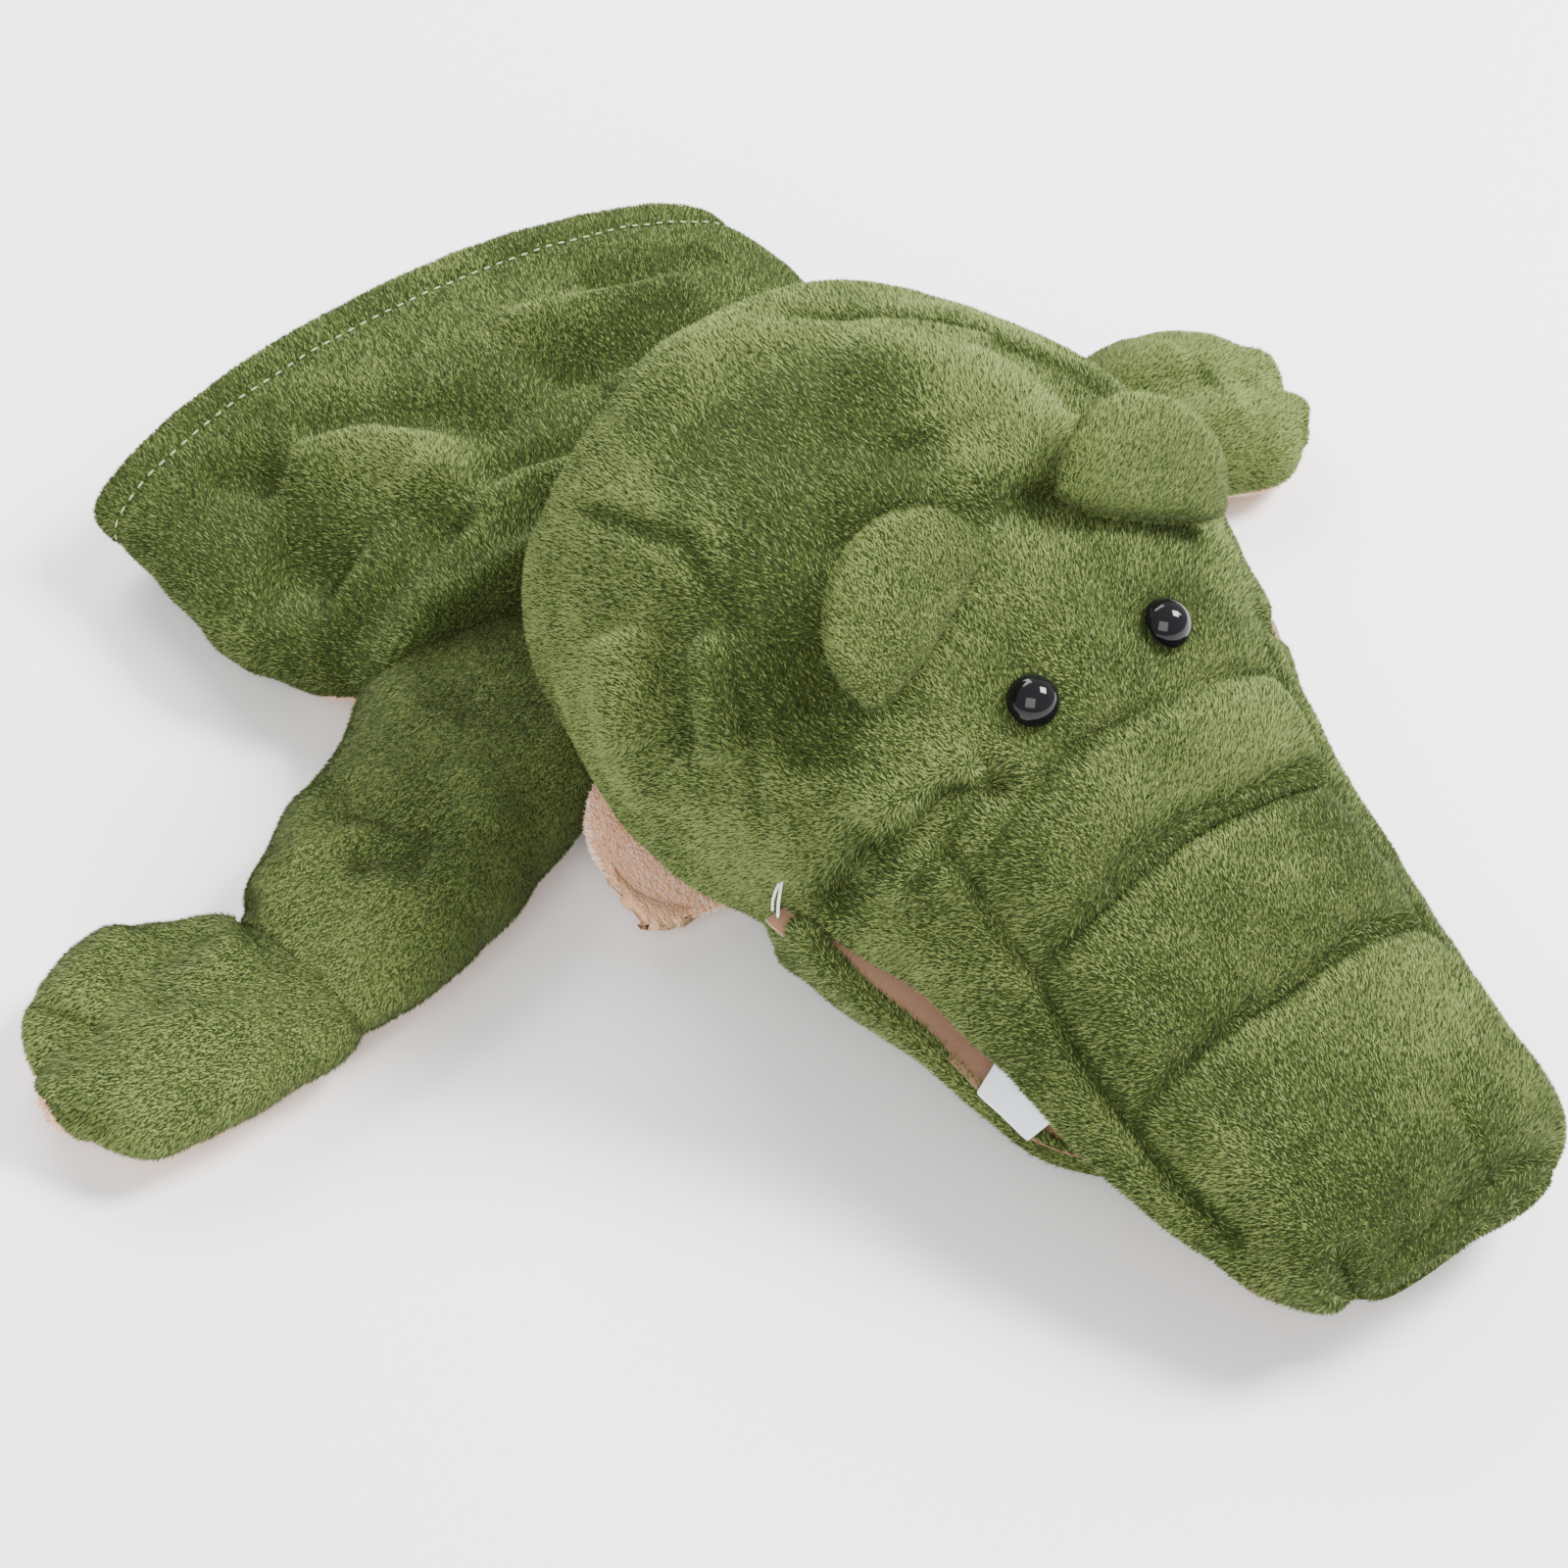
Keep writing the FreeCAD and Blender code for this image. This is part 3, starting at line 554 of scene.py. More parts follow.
crownFolds = [
    # seams
    crease(-1.7, 2.4, [(127, -48, 84), (149, -49, 94), (165, -46, 98), (180, -49, 93), (196, -56, 81),
                       (207, -61, 65), (211, -61, 58)]),
    crease(1.2, 9, [(127, -48, 84), (149, -49, 94), (165, -46, 98), (180, -49, 93), (196, -56, 81),
                    (207, -61, 65), (211, -61, 58)]),
    crease(-1.9, 2.6, [(127, -8, 105), (143, 12, 109), (158, 31, 106), (178, 44, 97), (185, 54, 87)]),
    crease(1.8, 10, [(118, -30, 90), (127, -8, 105), (143, 12, 109), (158, 31, 106), (178, 44, 97)]),
    crease(-1.6, 2.4, [(127, 48, 84), (149, 58, 84), (170, 62, 80), (196, 60, 75), (208, 60, 62)]),
    crease(-2.2, 3.0, [(186, -36, 99), (188, -19, 105), (198, -4, 104), (199, 11, 103), (206, 26, 98),
                       (213, 44, 86)]),
    crease(-1.8, 4.0, [(196, -30, 102), (206, -25, 97), (214, -42, 86)]),
    crease(2.2, 9, [(182, -28, 108), (192, -10, 108), (192, 8, 107)]),
    # hollow in front of the crown ridge and the ridge beside it
    crease(-3.0, 9, [(176, -2, 112), (190, -6, 108), (199, -4, 104)]),
    crease(3.4, 11, [(150, 0, 112), (168, 12, 112), (182, 20, 108), (194, 26, 103)]),
    crease(-2.4, 8, [(160, 30, 106), (176, 34, 103), (188, 32, 102)]),
    crease(-2.0, 14, [(140, -30, 105), (160, -22, 108), (178, -18, 108)]),
    # cheek folds
    crease(-4.0, 5, [(166, -58, 90), (173, -58, 88), (182, -62, 80), (188, -65, 70)]),
    crease(5.0, 7, [(160, -62, 82), (166, -64, 76), (176, -67, 66)]),
    crease(4.6, 5.5, [(180, -54, 92), (188, -58, 82), (194, -62, 72)]),
    crease(-1.8, 5, [(170, -60, 86), (178, -66, 72), (184, -68, 58)]),
    crease(-2.6, 7, [(194, -40, 97), (202, -44, 92), (212, -52, 76)]),
    crease(1.8, 5, [(213, -60, 55), (205, -60, 70), (200, -55, 82)]),
    crease(2.4, 7, [(206, -48, 88), (214, -50, 80), (222, -50, 72)]),
    # creases at the corner of the mouth
    crease(-5.5, 3.2, [(219, -58, 50), (221, -57, 54), (225, -53, 65), (228, -46, 71), (229, -38, 77),
                       (235, -24, 79)], fade=0.12),
    crease(4.2, 5.5, [(222, -52, 72), (227, -42, 78), (232, -30, 82)]),
    crease(-2.4, 2.2, [(232, -49, 60), (234, -41, 69), (233, -36, 74), (235, -24, 79)]),
    crease(2.2, 4.5, [(227, -52, 60), (233, -44, 66), (240, -40, 68)]),
    crease(1.6, 4, [(226, -56, 48), (236, -52, 52), (246, -51, 48)]),
    crease(-3.0, 3.0, [(220, 58, 54), (225, 52, 65), (229, 42, 75)]),
    # edge seam of the quilted panel, nose dart and nose notch
    crease(-1.9, 2.2, [(231, -42, 72), (246, -39.5, 61), (260, -38, 51), (272, -39, 42), (290, -38.5, 33),
                       (312, -35, 25)], fade=0.04),
    crease(-1.9, 2.2, [(231, 42, 72), (254, 38.5, 56), (283, 38.5, 38), (312, 33, 28)], fade=0.04),
    crease(-1.6, 2.2, [(313, 9, 35), (320, 8.5, 31), (328, 7, 20)]),
    crease(-3.4, 3.4, [(328, -22, 12), (325, -26, 22), (320, -27, 27)]),
    # dimples that the eyes are pulled into
    crease(-2.2, 7, [(228, -17, 86), (229, -16, 85.5)], fade=0),
    crease(-2.2, 7, [(228, 17, 86), (229, 16, 85.5)], fade=0),
]


def quiltRelief(x, y):
    # each channel between two quilting seams stands up; the seams are narrow valleys
    height = np.zeros_like(x)
    inside = 1 - smoothStep(headLook["quiltHalf"] - 9, headLook["quiltHalf"] + 1, np.abs(y))
    seams = headLook["quiltSeams"]
    for low, high in zip(seams, seams[1:]):
        t = np.clip((x - low) / (high - low), 0, 1)
        height += headLook["quiltBulge"] * np.sin(np.pi * t) ** 0.45
    for seam in seams:
        wander = seam + 0.7 * np.sin(y * 0.14 + seam)
        height -= 1.6 * np.exp(-((x - wander) / 1.1) ** 2)
    return height * inside


def rollEdges(middle, radius, angles, way):
    # turns both edges of a shell inward, to a soft lip; way is -1 for down and 1 for up
    parts = []
    for side in (-1, 1):
        start = middle[:, 0 if side < 0 else -1]
        inward = radius[:, None] * (1 - np.cos(angles))[None, :]
        rise = radius[:, None] * np.sin(angles)[None, :]
        bent = np.stack([np.repeat(start[:, :1], len(angles), axis=1), start[:, 1:2] - side * inward,
                         start[:, 2:3] + way * rise], axis=2)
        parts.append(bent[:, ::-1] if side < 0 else bent)
    return np.concatenate([parts[0], middle, parts[1]], axis=1)


def headSkinPoints(rows, columns):
    x = np.repeat(rows[:, None], columns - 2 * headLook["roll"], axis=1)
    mid, wide, tall = headSection(x)
    edge = headEdgeHeight(rows) + headLook["lip"]
    limit = np.arccos(np.clip((edge - mid[:, 0]) / tall[:, 0], -0.98, 0.98))
    angle = limit[:, None] * np.linspace(-1, 1, x.shape[1])[None, :]
    middle = np.stack([x, wide[:, :1] * np.sin(angle), mid[:, :1] + tall[:, :1] * np.cos(angle)], axis=2)
    radius = headLook["lip"] * smoothStep(103, 112, rows) * (1 - 0.5 * smoothStep(322, 328, rows))
    return rollEdges(middle, radius, np.linspace(0.15, 2.6, headLook["roll"]), -1)


def capRows(points, closeTo, steps, bulge):
    # closes the end of a shell: rings that shrink to a point, rounded by bulge
    ring = points
    made = []
    centre = ring.mean(axis=0)
    for k in range(1, steps + 1):
        t = k / steps
        shrink = math.cos(t * math.pi / 2)
        out = math.sin(t * math.pi / 2) * bulge
        made.append(centre + (ring - centre) * max(shrink, 0.002) + np.array(closeTo) * out)
    return made


def raiseFolds(points, folds, extra):
    return points + gridNormals(points) * (relief(points, folds) + extra)[..., None]


rows = spacedRows(103, 328, 1.2, 0.9)
shell = headSkinPoints(rows, 190)
overLip = smoothStep(-20, 2, shell[..., 2] - palateHeight(shell[..., 0]))
extra = (quiltRelief(shell[..., 0], shell[..., 1]) * overLip
         + lumps(shell, 17, 1) * 1.3 + lumps(shell, 7, 2) * 0.45)
away = smoothStep(0, 5, shell[..., 2] - headEdgeHeight(shell[..., 0]))
shell = raiseFolds(shell, crownFolds, 0) + gridNormals(shell) * (extra * (0.35 + 0.65 * away))[..., None]
taper = headLook["noseTaper"] * smoothStep(292, 326, shell[..., 0]) * smoothStep(0, 30, -shell[..., 1])
shell[..., 1] *= 1 - taper
shell[..., 2] += 2.5 * taper / headLook["noseTaper"] * smoothStep(20, 0, shell[..., 2])
foldShadeAndHighlight = foldShading(shell, crownFolds)
# painted shade in the quilting seams
for seamAt in headLook["quiltSeams"]:
    inPanel = 1 - smoothStep(headLook["quiltHalf"] - 3, headLook["quiltHalf"] + 1, np.abs(shell[..., 1]))
    apart = shell[..., 0] - seamAt - 0.7 * np.sin(shell[..., 1] * 0.14 + seamAt)
    foldShadeAndHighlight -= 0.95 * np.exp(-(apart / 1.0) ** 2) * inPanel
noseCap = capRows(shell[-1], (1, 0, -0.1), 9, 4.5)
backCap = capRows(shell[0], (-1, 0, 0), 8, 5.0)
shell = np.concatenate([np.array(backCap[::-1]), shell, np.array(noseCap)])
foldShadeAndHighlight = np.pad(foldShadeAndHighlight, ((len(backCap), len(noseCap)), (0, 0)), mode="edge")
shell[..., 2] = np.maximum(shell[..., 2], 1.5)


def backNap(points, toward=(-1, 0, -0.35), swirl=0.5, seed=9):
    # pile brushed toward the back of the head, with slow changes of direction
    normals = gridNormals(points)
    turn = lumps(points, 26, seed)[..., None] * swirl
    side = np.cross(normals, np.array([1.0, 0, 0]))
    nap = np.array(toward, float) + side * turn
    nap -= normals * np.sum(nap * normals, axis=2, keepdims=True)
    return nap / np.maximum(np.linalg.norm(nap, axis=2, keepdims=True), 1e-6)


def plushSkin(name, points, material, closed=False, nap=(-1, 0, -0.35), spots=(), light=0.0, tones=0.0):
    piece = addMesh(name, points, gridFaces(points.shape[0], points.shape[1], closed))
    addNap(piece, backNap(points, nap))
    addTone(piece, spotTones(points, spots) + light + tones)
    piece.data.materials.append(material)
    return piece


# brushed patches of the pile; the dark spots just behind the near brow are painted shade
headSpots = [
    ((168, -12, 112), 17, -0.34), ((176, -30, 105), 14, -0.2), ((182, 18, 108), 13, 0.42),
    ((150, 34, 100), 16, 0.3), ((194, 34, 99), 12, 0.28), ((196, -20, 104), 11, -0.25),
    ((190, -42, 96), 14, -0.32), ((130, -52, 76), 20, 0.12), ((172, -66, 60), 18, 0.22),
    ((206, -60, 58), 14, 0.18), ((168, -60, 82), 9, 0.22), ((182, -60, 84), 6, -0.3),
    ((190, -26, 106), 9, -0.45), ((193, -48, 92), 9, -0.3), ((222, -6, 90), 16, 0.1),
    ((224, -36, 80), 10, 0.12), ((236, -30, 80), 10, 0.1), ((216, -46, 78), 8, -0.15),
    ((249, 20, 72), 12, 0.16), ((249, -10, 72), 14, 0.08), ((270, 0, 58), 16, -0.06),
    ((298, -6, 44), 14, -0.1), ((262, -44, 40), 14, -0.12), ((300, 24, 38), 12, 0.14),
    ((322, 0, 26), 14, -0.12), ((320, -30, 22), 8, 0.1),
    # shade round the brows, the tee crease and the corner of the mouth
    ((201, -44, 90), 7, -0.5), ((207, -50, 82), 6, -0.45), ((197, -34, 98), 7, -0.4),
    ((199, 6, 104), 6, -0.4), ((203, 26, 98), 7, -0.35), ((226, -50, 66), 6, -0.35),
    ((222, -56, 56), 5, -0.4), ((160, -8, 112), 12, -0.22),
]
headSkin = plushSkin("headSkin", shell, plush, spots=headSpots, tones=foldShadeAndHighlight)
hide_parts("crown_panel", "cheek_panel_right", "cheek_panel_left", "face_panel",
            "quilted_snout_panel", "lip_panel_right", "lip_panel_left", "nose_panel",
            "crown_stuffing", "snout_stuffing")
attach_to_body(headSkin, "head")
growPile(headSkin, greenTree, lambda part: (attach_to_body(part, "head"), part))
print("head skin", len(headSkin.data.polygons))


# ---- lower jaw and the gusset that folds at the cheeks

jawLook = {"spread": 8.0, "lip": 3.0, "front": 292, "back": 172, "narrow": 262,
           "rest": 0.6, "roll": 7}


def softFloor(z, level, soft=2.5):
    # the plush flattens where it lies on the table
    return level + soft * np.log1p(np.exp(np.clip((z - level) / soft, -30, 30)))


def jawEdgeHeight(x):
    meets = np.where(x > hingeX, gapeHeight(x), hingeZ - headLook["gusset"] * (hingeX - x))
    return meets + 3.5 * np.exp(-((x - hingeX) / 7) ** 2) + 0.9


def jawGrowth(x):
    # the jaw is wider than the snout, most of all beside the corners of the mouth
    return jawLook["spread"] * smoothStep(196, 214, x) * (1 - 0.45 * smoothStep(222, 262, x))


def jawPlan(x):
    # 1 along the jaw, and less round its front end
    end = jawLook["front"] + 1.5 - jawLook["narrow"]
    nose = np.sqrt(np.clip(1 - ((x - jawLook["narrow"]) / end) ** 2, 0.0004, 1))
    return np.where(x > jawLook["narrow"], nose ** 0.8, 1)


def jawPoints(rows, columns):
    x = np.repeat(rows[:, None], columns - 2 * jawLook["roll"], axis=1)
    mid, wide, tall = headSection(x)
    wide = (wide + jawGrowth(x) - 4.5 * np.exp(-((x - 206) / 16) ** 2)) * jawPlan(x)
    edge = np.maximum(jawEdgeHeight(rows), 3.0 + jawLook["rest"]) - jawLook["lip"]
    edge = np.maximum(edge, 2.2)
    limit = np.arccos(np.clip((mid[:, 0] - edge) / tall[:, 0], -0.9, 0.985))
    share = np.linspace(-1, 1, x.shape[1])
    angle = limit[:, None] * np.sign(share) * np.abs(share) ** 0.8
    z = softFloor(mid[:, :1] - tall[:, :1] * np.cos(angle), jawLook["rest"])
    middle = np.stack([x, wide[:, :1] * np.sin(angle), z], axis=2)
    radius = jawLook["lip"] * np.minimum(1, edge / 4)
    return rollEdges(middle, radius, np.linspace(0.2, 2.5, jawLook["roll"]), 1)


gussetFolds = [crease(*at) for side in (-1, 1) for at in (
    (-2.2, 3, [(206, side * 62, 38), (204, side * 63, 28), (198, side * 60, 14)]),
    (1.6, 4, [(212, side * 62, 40), (216, side * 66, 26), (212, side * 62, 12)]))]
rows = spacedRows(jawLook["back"], jawLook["front"], 1.8, 0.7)
jaw = jawPoints(rows, 120)[:, ::-1]
jaw = raiseFolds(jaw, gussetFolds, lumps(jaw, 16, 5) * 0.9 * smoothStep(2, 8, jaw[..., 2]))
jaw = np.concatenate([jaw, np.array(capRows(jaw[-1], (1, 0, 0), 5, 1.6))])
jawSkin = plushSkin("jawSkin", jaw, plush, nap=(-1, 0, 0.1), light=0.1)
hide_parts("jaw_panel", "cheek_gusset", "jaw_stuffing")


def bendWithJaw(piece):
    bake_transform(piece)


growPile(jawSkin, greenTree, lambda part: (bendWithJaw(part), part), density=0.8)
bendWithJaw(jawSkin)
print("jaw skin")


# ---- mouth linings, stretched over the palate and the lower jaw

liningLook = {"thickness": 0.0009, "inset": 2.6}


def liningPoints(rows, columns, heightAt, widthAt, sag):
    x = np.repeat(rows[:, None], columns, axis=1)
    side = np.repeat(np.linspace(-1, 1, columns)[None, :], len(rows), axis=0)
    y = side * widthAt(x)
    inside = smoothStep(rows[0], rows[0] + 18, x) * (1 - smoothStep(rows[-1] - 20, rows[-1], x))
    crown = sag * (1 - side ** 2) * inside
    points = np.stack([x, y, heightAt(x) + crown], axis=2)
    points[..., 2] += lumps(points, 14, 7) * 0.5
    return points


def widthAtHeight(heightAt, x, growth=0):
    mid, wide, tall = headSection(x)
    rise = np.clip((heightAt(x) - mid) / tall, -0.95, 0.95)
    return (wide + growth) * np.sqrt(1 - rise ** 2)


def palateWidth(x):
    return widthAtHeight(palateHeight, x) - liningLook["inset"]


def jawWidth(x):
    inset = liningLook["inset"] + 0.4 + 3 * smoothStep(262, 281, x)
    return widthAtHeight(gapeHeight, x, jawGrowth(x)) * jawPlan(x) - inset


def addLining(name, points, node, body):
    piece = addMesh(name, points, gridFaces(points.shape[0], points.shape[1]))
    piece.data.materials.append(tricot)
    solid = piece.modifiers.new("cloth", "SOLIDIFY")
    solid.thickness = liningLook["thickness"]
    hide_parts(node)
    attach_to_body(piece, body)


palate = liningPoints(np.linspace(212, 324, 64), 50, lambda x: palateHeight(x) + 1.6, palateWidth, 0.6)
addLining("palateLining", palate, "palate_lining", "head")
jawTop = liningPoints(np.linspace(212, 281, 46), 60, lambda x: gapeHeight(x) + 0.7, jawWidth, -0.8)
jawTop[..., 2] = np.maximum(jawTop[..., 2], 3.4)
addLining("jawLining", jawTop, "jaw_lining", "jaw")


# ---- brow flaps: half-round pads sewn in at the front of the crown

browLook = {"inner": (203.4, 9.9, 108.0), "outer": (213.4, 44.9, 91.5), "lean": (-0.42, 0.62, 0.66),
            "height": 19.0, "thickness": 9.0, "sunk": 4.5}


def browPoints(side):
    inner, outer, lean = (np.array(browLook[k], float) * (1, side, 1) for k in ("inner", "outer", "lean"))
    along = (outer - inner) / np.linalg.norm(outer - inner)
    up = lean - along * (lean @ along)
    up /= np.linalg.norm(up)
    facing = np.cross(along, up) * side
    middle, half = (inner + outer) / 2, np.linalg.norm(outer - inner) / 2
    made = []
    for s in np.sin(np.linspace(-1, 1, 44) * math.pi / 2):
        span = max(1e-3, 1 - abs(s) ** 2.3)
        tall, thick = browLook["height"] * span ** 0.5, browLook["thickness"] / 2 * span ** 0.42
        ring = []
        for turn in np.linspace(0, 2 * math.pi, 64, endpoint=False):
            across = thick * math.copysign(abs(math.cos(turn)) ** 0.85, math.cos(turn))
            rise = math.sin(turn)
            high = tall * rise ** 0.78 if rise > 0 else -browLook["sunk"] * span ** 0.3 * (-rise) ** 0.7
            seam = math.exp(-((turn - math.pi / 2) / 0.07) ** 2)
            curl = 1.5 * (high / browLook["height"]) ** 2 * side
            ring.append(middle + along * s * half + facing * (across + 0.8 - curl * side)
                        + up * (high - 1.1 * seam))
        made.append(ring)
    points = np.array(made)
    points += gridNormals(points, True) * (lumps(points, 8, 11) * 0.5)[..., None]
    return points, up


for side, name in ((-1, "Right"), (1, "Left")):
    pad, up = browPoints(side)
    pad = pad if side > 0 else pad[:, ::-1]
    # the brows' pile is painted lighter, a painted highlight of their lit faces
    brow = plushSkin("brow" + name, pad, plush, closed=True, nap=tuple(up), light=0.36)
    low = name.lower()
    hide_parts("brow_front_" + low, "brow_stuffing_" + low, "brow_back_" + low)
    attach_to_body(brow, "brow_" + low)
    growPile(brow, greenTree, lambda part: (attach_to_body(part, "brow_" + low), part))
print("brows")


# ---- sleeve: green back and peach belly, sewn along the sides and hemmed at the hand's end

sleeveLook = {
    "stations": {0: (17, 88, 21), 43: (17, 87, 22), 74: (17, 80, 23), 94: (17, 60, 23),
                 128: (16, 51, 23), 152: (15, 62, 21), 168: (13, 62, 15)},
    "wall": 0.0018, "hemDepth": 14, "hemTurn": 2.0, "stitchLine": 8.0, "bow": 7.0, "rest": 0.5,
    "columns": 150, "end": 168, "belowNeck": 15.9,
}
sleeveAt = list(sleeveLook["stations"])
sleeveShape = np.array(list(sleeveLook["stations"].values()), float)
sleeveFolds = [
    crease(4.5, 6, [(84, -78, 15), (86, -68, 23), (88, -58, 28), (92, -38, 35), (98, -20, 38)]),
    crease(-3.6, 6, [(80, -80, 15), (80, -66, 27), (77, -52, 33), (70, -32, 38)]),
    crease(3.6, 6, [(84, -76, 15), (81, -52, 33), (74, -21, 39), (83, -2, 40)]),
    crease(-3.4, 5, [(98, -54, 24), (100, -42, 32), (104, -26, 37)]),
    crease(-6.5, 10, [(48, -72, 24), (56, -66, 28), (66, -62, 30)]),
    crease(2.0, 6, [(40, -80, 20), (50, -84, 16), (62, -80, 18)]),
    crease(4.2, 8, [(30, -60, 33), (38, -40, 37), (52, -34, 38), (66, -38, 37)]),
    crease(-2.6, 8, [(22, -50, 35), (40, -20, 39), (60, -14, 40)]),
    crease(3.8, 7, [(26, 2, 38), (30, 17, 38), (35, 40, 35), (38, 56, 32)]),
    crease(-3.2, 7, [(40, 0, 39), (48, 20, 38), (56, 44, 34), (60, 66, 28)]),
    crease(3.0, 6, [(44, 64, 30), (52, 70, 27), (64, 74, 23)]),
    crease(3.0, 7, [(58, 10, 40), (68, 30, 37), (76, 52, 31)]),
    crease(-3.0, 6, [(78, 20, 38), (86, 40, 33), (88, 58, 25)]),
    crease(-3.0, 6, [(18, -70, 26), (26, -58, 32), (34, -56, 33)]),
    crease(-2.6, 6, [(20, 30, 36), (24, 54, 32), (22, 72, 26)]),
    crease(-2.8, 6, [(60, -30, 38), (70, -8, 40), (76, 14, 40)]),
]


def sleeveSection(x):
    return [curveThrough(sleeveAt, sleeveShape[:, i], x) for i in range(3)]


def sleeveTop(x):
    # the sleeve stops below the neck's seam
    return neckZ - neckTan * (x - neckX) - sleeveLook["belowNeck"]


def sleeveBow(y):
    # the hand's end is drawn out in the middle
    return sleeveLook["bow"] * np.clip(1 - (y / 88) ** 2, 0, 1)


def sleevePoints(rows, columns, over):
    x = np.repeat(rows[:, None], columns, axis=1)
    mid, wide, tall = sleeveSection(np.clip(x, 0, sleeveLook["end"]))
    seam = 4.5 + 8 * np.exp(-((x - 80) / 14) ** 2) + 22 * smoothStep(126, 142, x)
    limit = np.arccos(np.clip((seam - mid) / tall, -0.95, 0.95))
    share = np.linspace(-1, 1, columns)
    angle = limit * share if over else math.pi + (math.pi - limit) * share
    y = wide * np.sin(angle)
    z = mid + tall * np.cos(angle)
    z = z if over else softFloor(z, sleeveLook["rest"], 1.6)
    return np.stack([x - sleeveBow(y) * (1 - smoothStep(0, 40, x)), y, z], axis=2)


def sleeveSheet(over, seed):
    rows = spacedRows(0, 158 if over else 170, 1.7, 1.0)
    outer = sleevePoints(rows, sleeveLook["columns"], over)
    rough = smoothStep(6, 24, outer[..., 0] + 6)
    side = 1 - np.linspace(-1, 1, sleeveLook["columns"])[None, :] ** 8
    if over:
        fromStitches = outer[..., 0] + sleeveBow(outer[..., 1]) - sleeveLook["stitchLine"]
        band = np.exp(-(fromStitches / 1.3) ** 2) * -1.6
        extra = lumps(outer, 22, seed) * 1.8 * rough + lumps(outer, 9, seed + 1) * 0.5 + band
        extra = relief(outer, sleeveFolds) * 1.7 + extra
    else:
        extra = lumps(outer, 20, seed) * 0.9 * smoothStep(1, 8, outer[..., 2])
    normals = gridNormals(outer)
    outer = outer + normals * (extra * side)[..., None]
    # the end is turned in and sewn down inside
    turn = np.linspace(0, math.pi, 8)[1:]
    across = normals[0]
    lip = [outer[0] + np.array([-1, 0, 0]) * math.sin(a) * sleeveLook["hemTurn"]
           - across * (1 - math.cos(a)) * sleeveLook["hemTurn"] for a in turn]
    back = [lip[-1] + np.array([1.0, 0, 0]) * d - across * 0.2
            for d in np.arange(1.5, sleeveLook["hemDepth"], 1.5)]
    end = capRows(outer[-1], (1, 0, 0), 6, 4.0)
    return np.concatenate([np.array(back[::-1]), np.array(lip[::-1]), outer, np.array(end)])


def cutAtNeck(points):
    # rows past the neck seam are drawn back onto it
    amount = np.clip(points[..., 2] - sleeveTop(points[..., 0]), 0, None)
    moved = points.copy()
    moved[..., 0] -= amount * neckTan / (1 + neckTan ** 2)
    moved[..., 2] -= amount / (1 + neckTan ** 2)
    return moved


def bendWithNeck(piece):
    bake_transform(piece)


sleeveBackPoints = cutAtNeck(sleeveSheet(True, 21))
sleeveSpots = [
    ((50, -40, 38), 16, 0.2), ((60, -64, 28), 14, -0.3), ((86, -60, 27), 7, 0.2),
    ((96, -50, 27), 9, -0.3), ((30, 10, 38), 14, 0.2), ((50, 40, 34), 18, -0.2),
    ((12, -30, 36), 12, 0.15), ((70, 30, 38), 14, 0.15), ((20, 60, 30), 14, -0.1),
    ((100, 0, 38), 20, -0.25),
]
sleeveBack = plushSkin("sleeveBack", sleeveBackPoints, plush, nap=(-1, 0, -0.2), spots=sleeveSpots,
                       tones=foldShading(sleeveBackPoints, sleeveFolds) - 0.16)
sleeveBellyPoints = cutAtNeck(sleeveSheet(False, 31))
sleeveBelly = plushSkin("sleeveBelly", sleeveBellyPoints, bellyPlush, nap=(-1, 0, -0.2), light=0.3)
for piece, nodes, tree, slot, density, flat, area in (
        (sleeveBack, ("sleeve_back", "hem_back"), greenTree, "plush", 1.0, (0.24, 0.19), 0.0385),
        (sleeveBelly, ("sleeve_belly", "hem_belly"), peachTree, "belly_plush", 0.6, (0.184, 0.204), 0.0325)):
    growPile(piece, tree, lambda part: (bendWithNeck(part), part), density=density)
    solid = piece.modifiers.new("cloth", "SOLIDIFY")
    solid.thickness = sleeveLook["wall"]
    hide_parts(*nodes)
    bendWithNeck(piece)
print("sleeve")


# ---- neck: the gathered tube between the sleeve and the head

neckLook = {"half": (31, 50), "low": -17.5, "high": 4.0, "gathers": 22, "depth": 0.9,
            "wall": 0.0012}
levels = np.linspace(neckLook["low"], neckLook["high"], 14)
ring = np.linspace(0, 2 * math.pi, 140, endpoint=False)
neckRings = []
for level in levels:
    pinch = 1 - 0.03 * math.cos((level + 7) / 11 * math.pi / 2)
    ripple = 1 + neckLook["depth"] / 40 * np.cos(ring * neckLook["gathers"])
    a, b = (neckLook["half"][0] * pinch * ripple * np.cos(ring),
            neckLook["half"][1] * pinch * ripple * np.sin(ring))
    z = neckZ - a * math.sin(neckSlope) + level * math.cos(neckSlope)
    neckRings.append(np.stack([neckX + a * math.cos(neckSlope) + level * math.sin(neckSlope), b,
                               np.maximum(z, 1.2)], axis=1))
neckBand = plushSkin("neckBand", np.array(neckRings)[:, ::-1], plush, closed=True)
solid = neckBand.modifiers.new("cloth", "SOLIDIFY")
solid.thickness = neckLook["wall"]
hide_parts("neck_gather")
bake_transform(neckBand)
print("neck")


# ---- arms and paws: flat stuffed limbs, green above and peach below

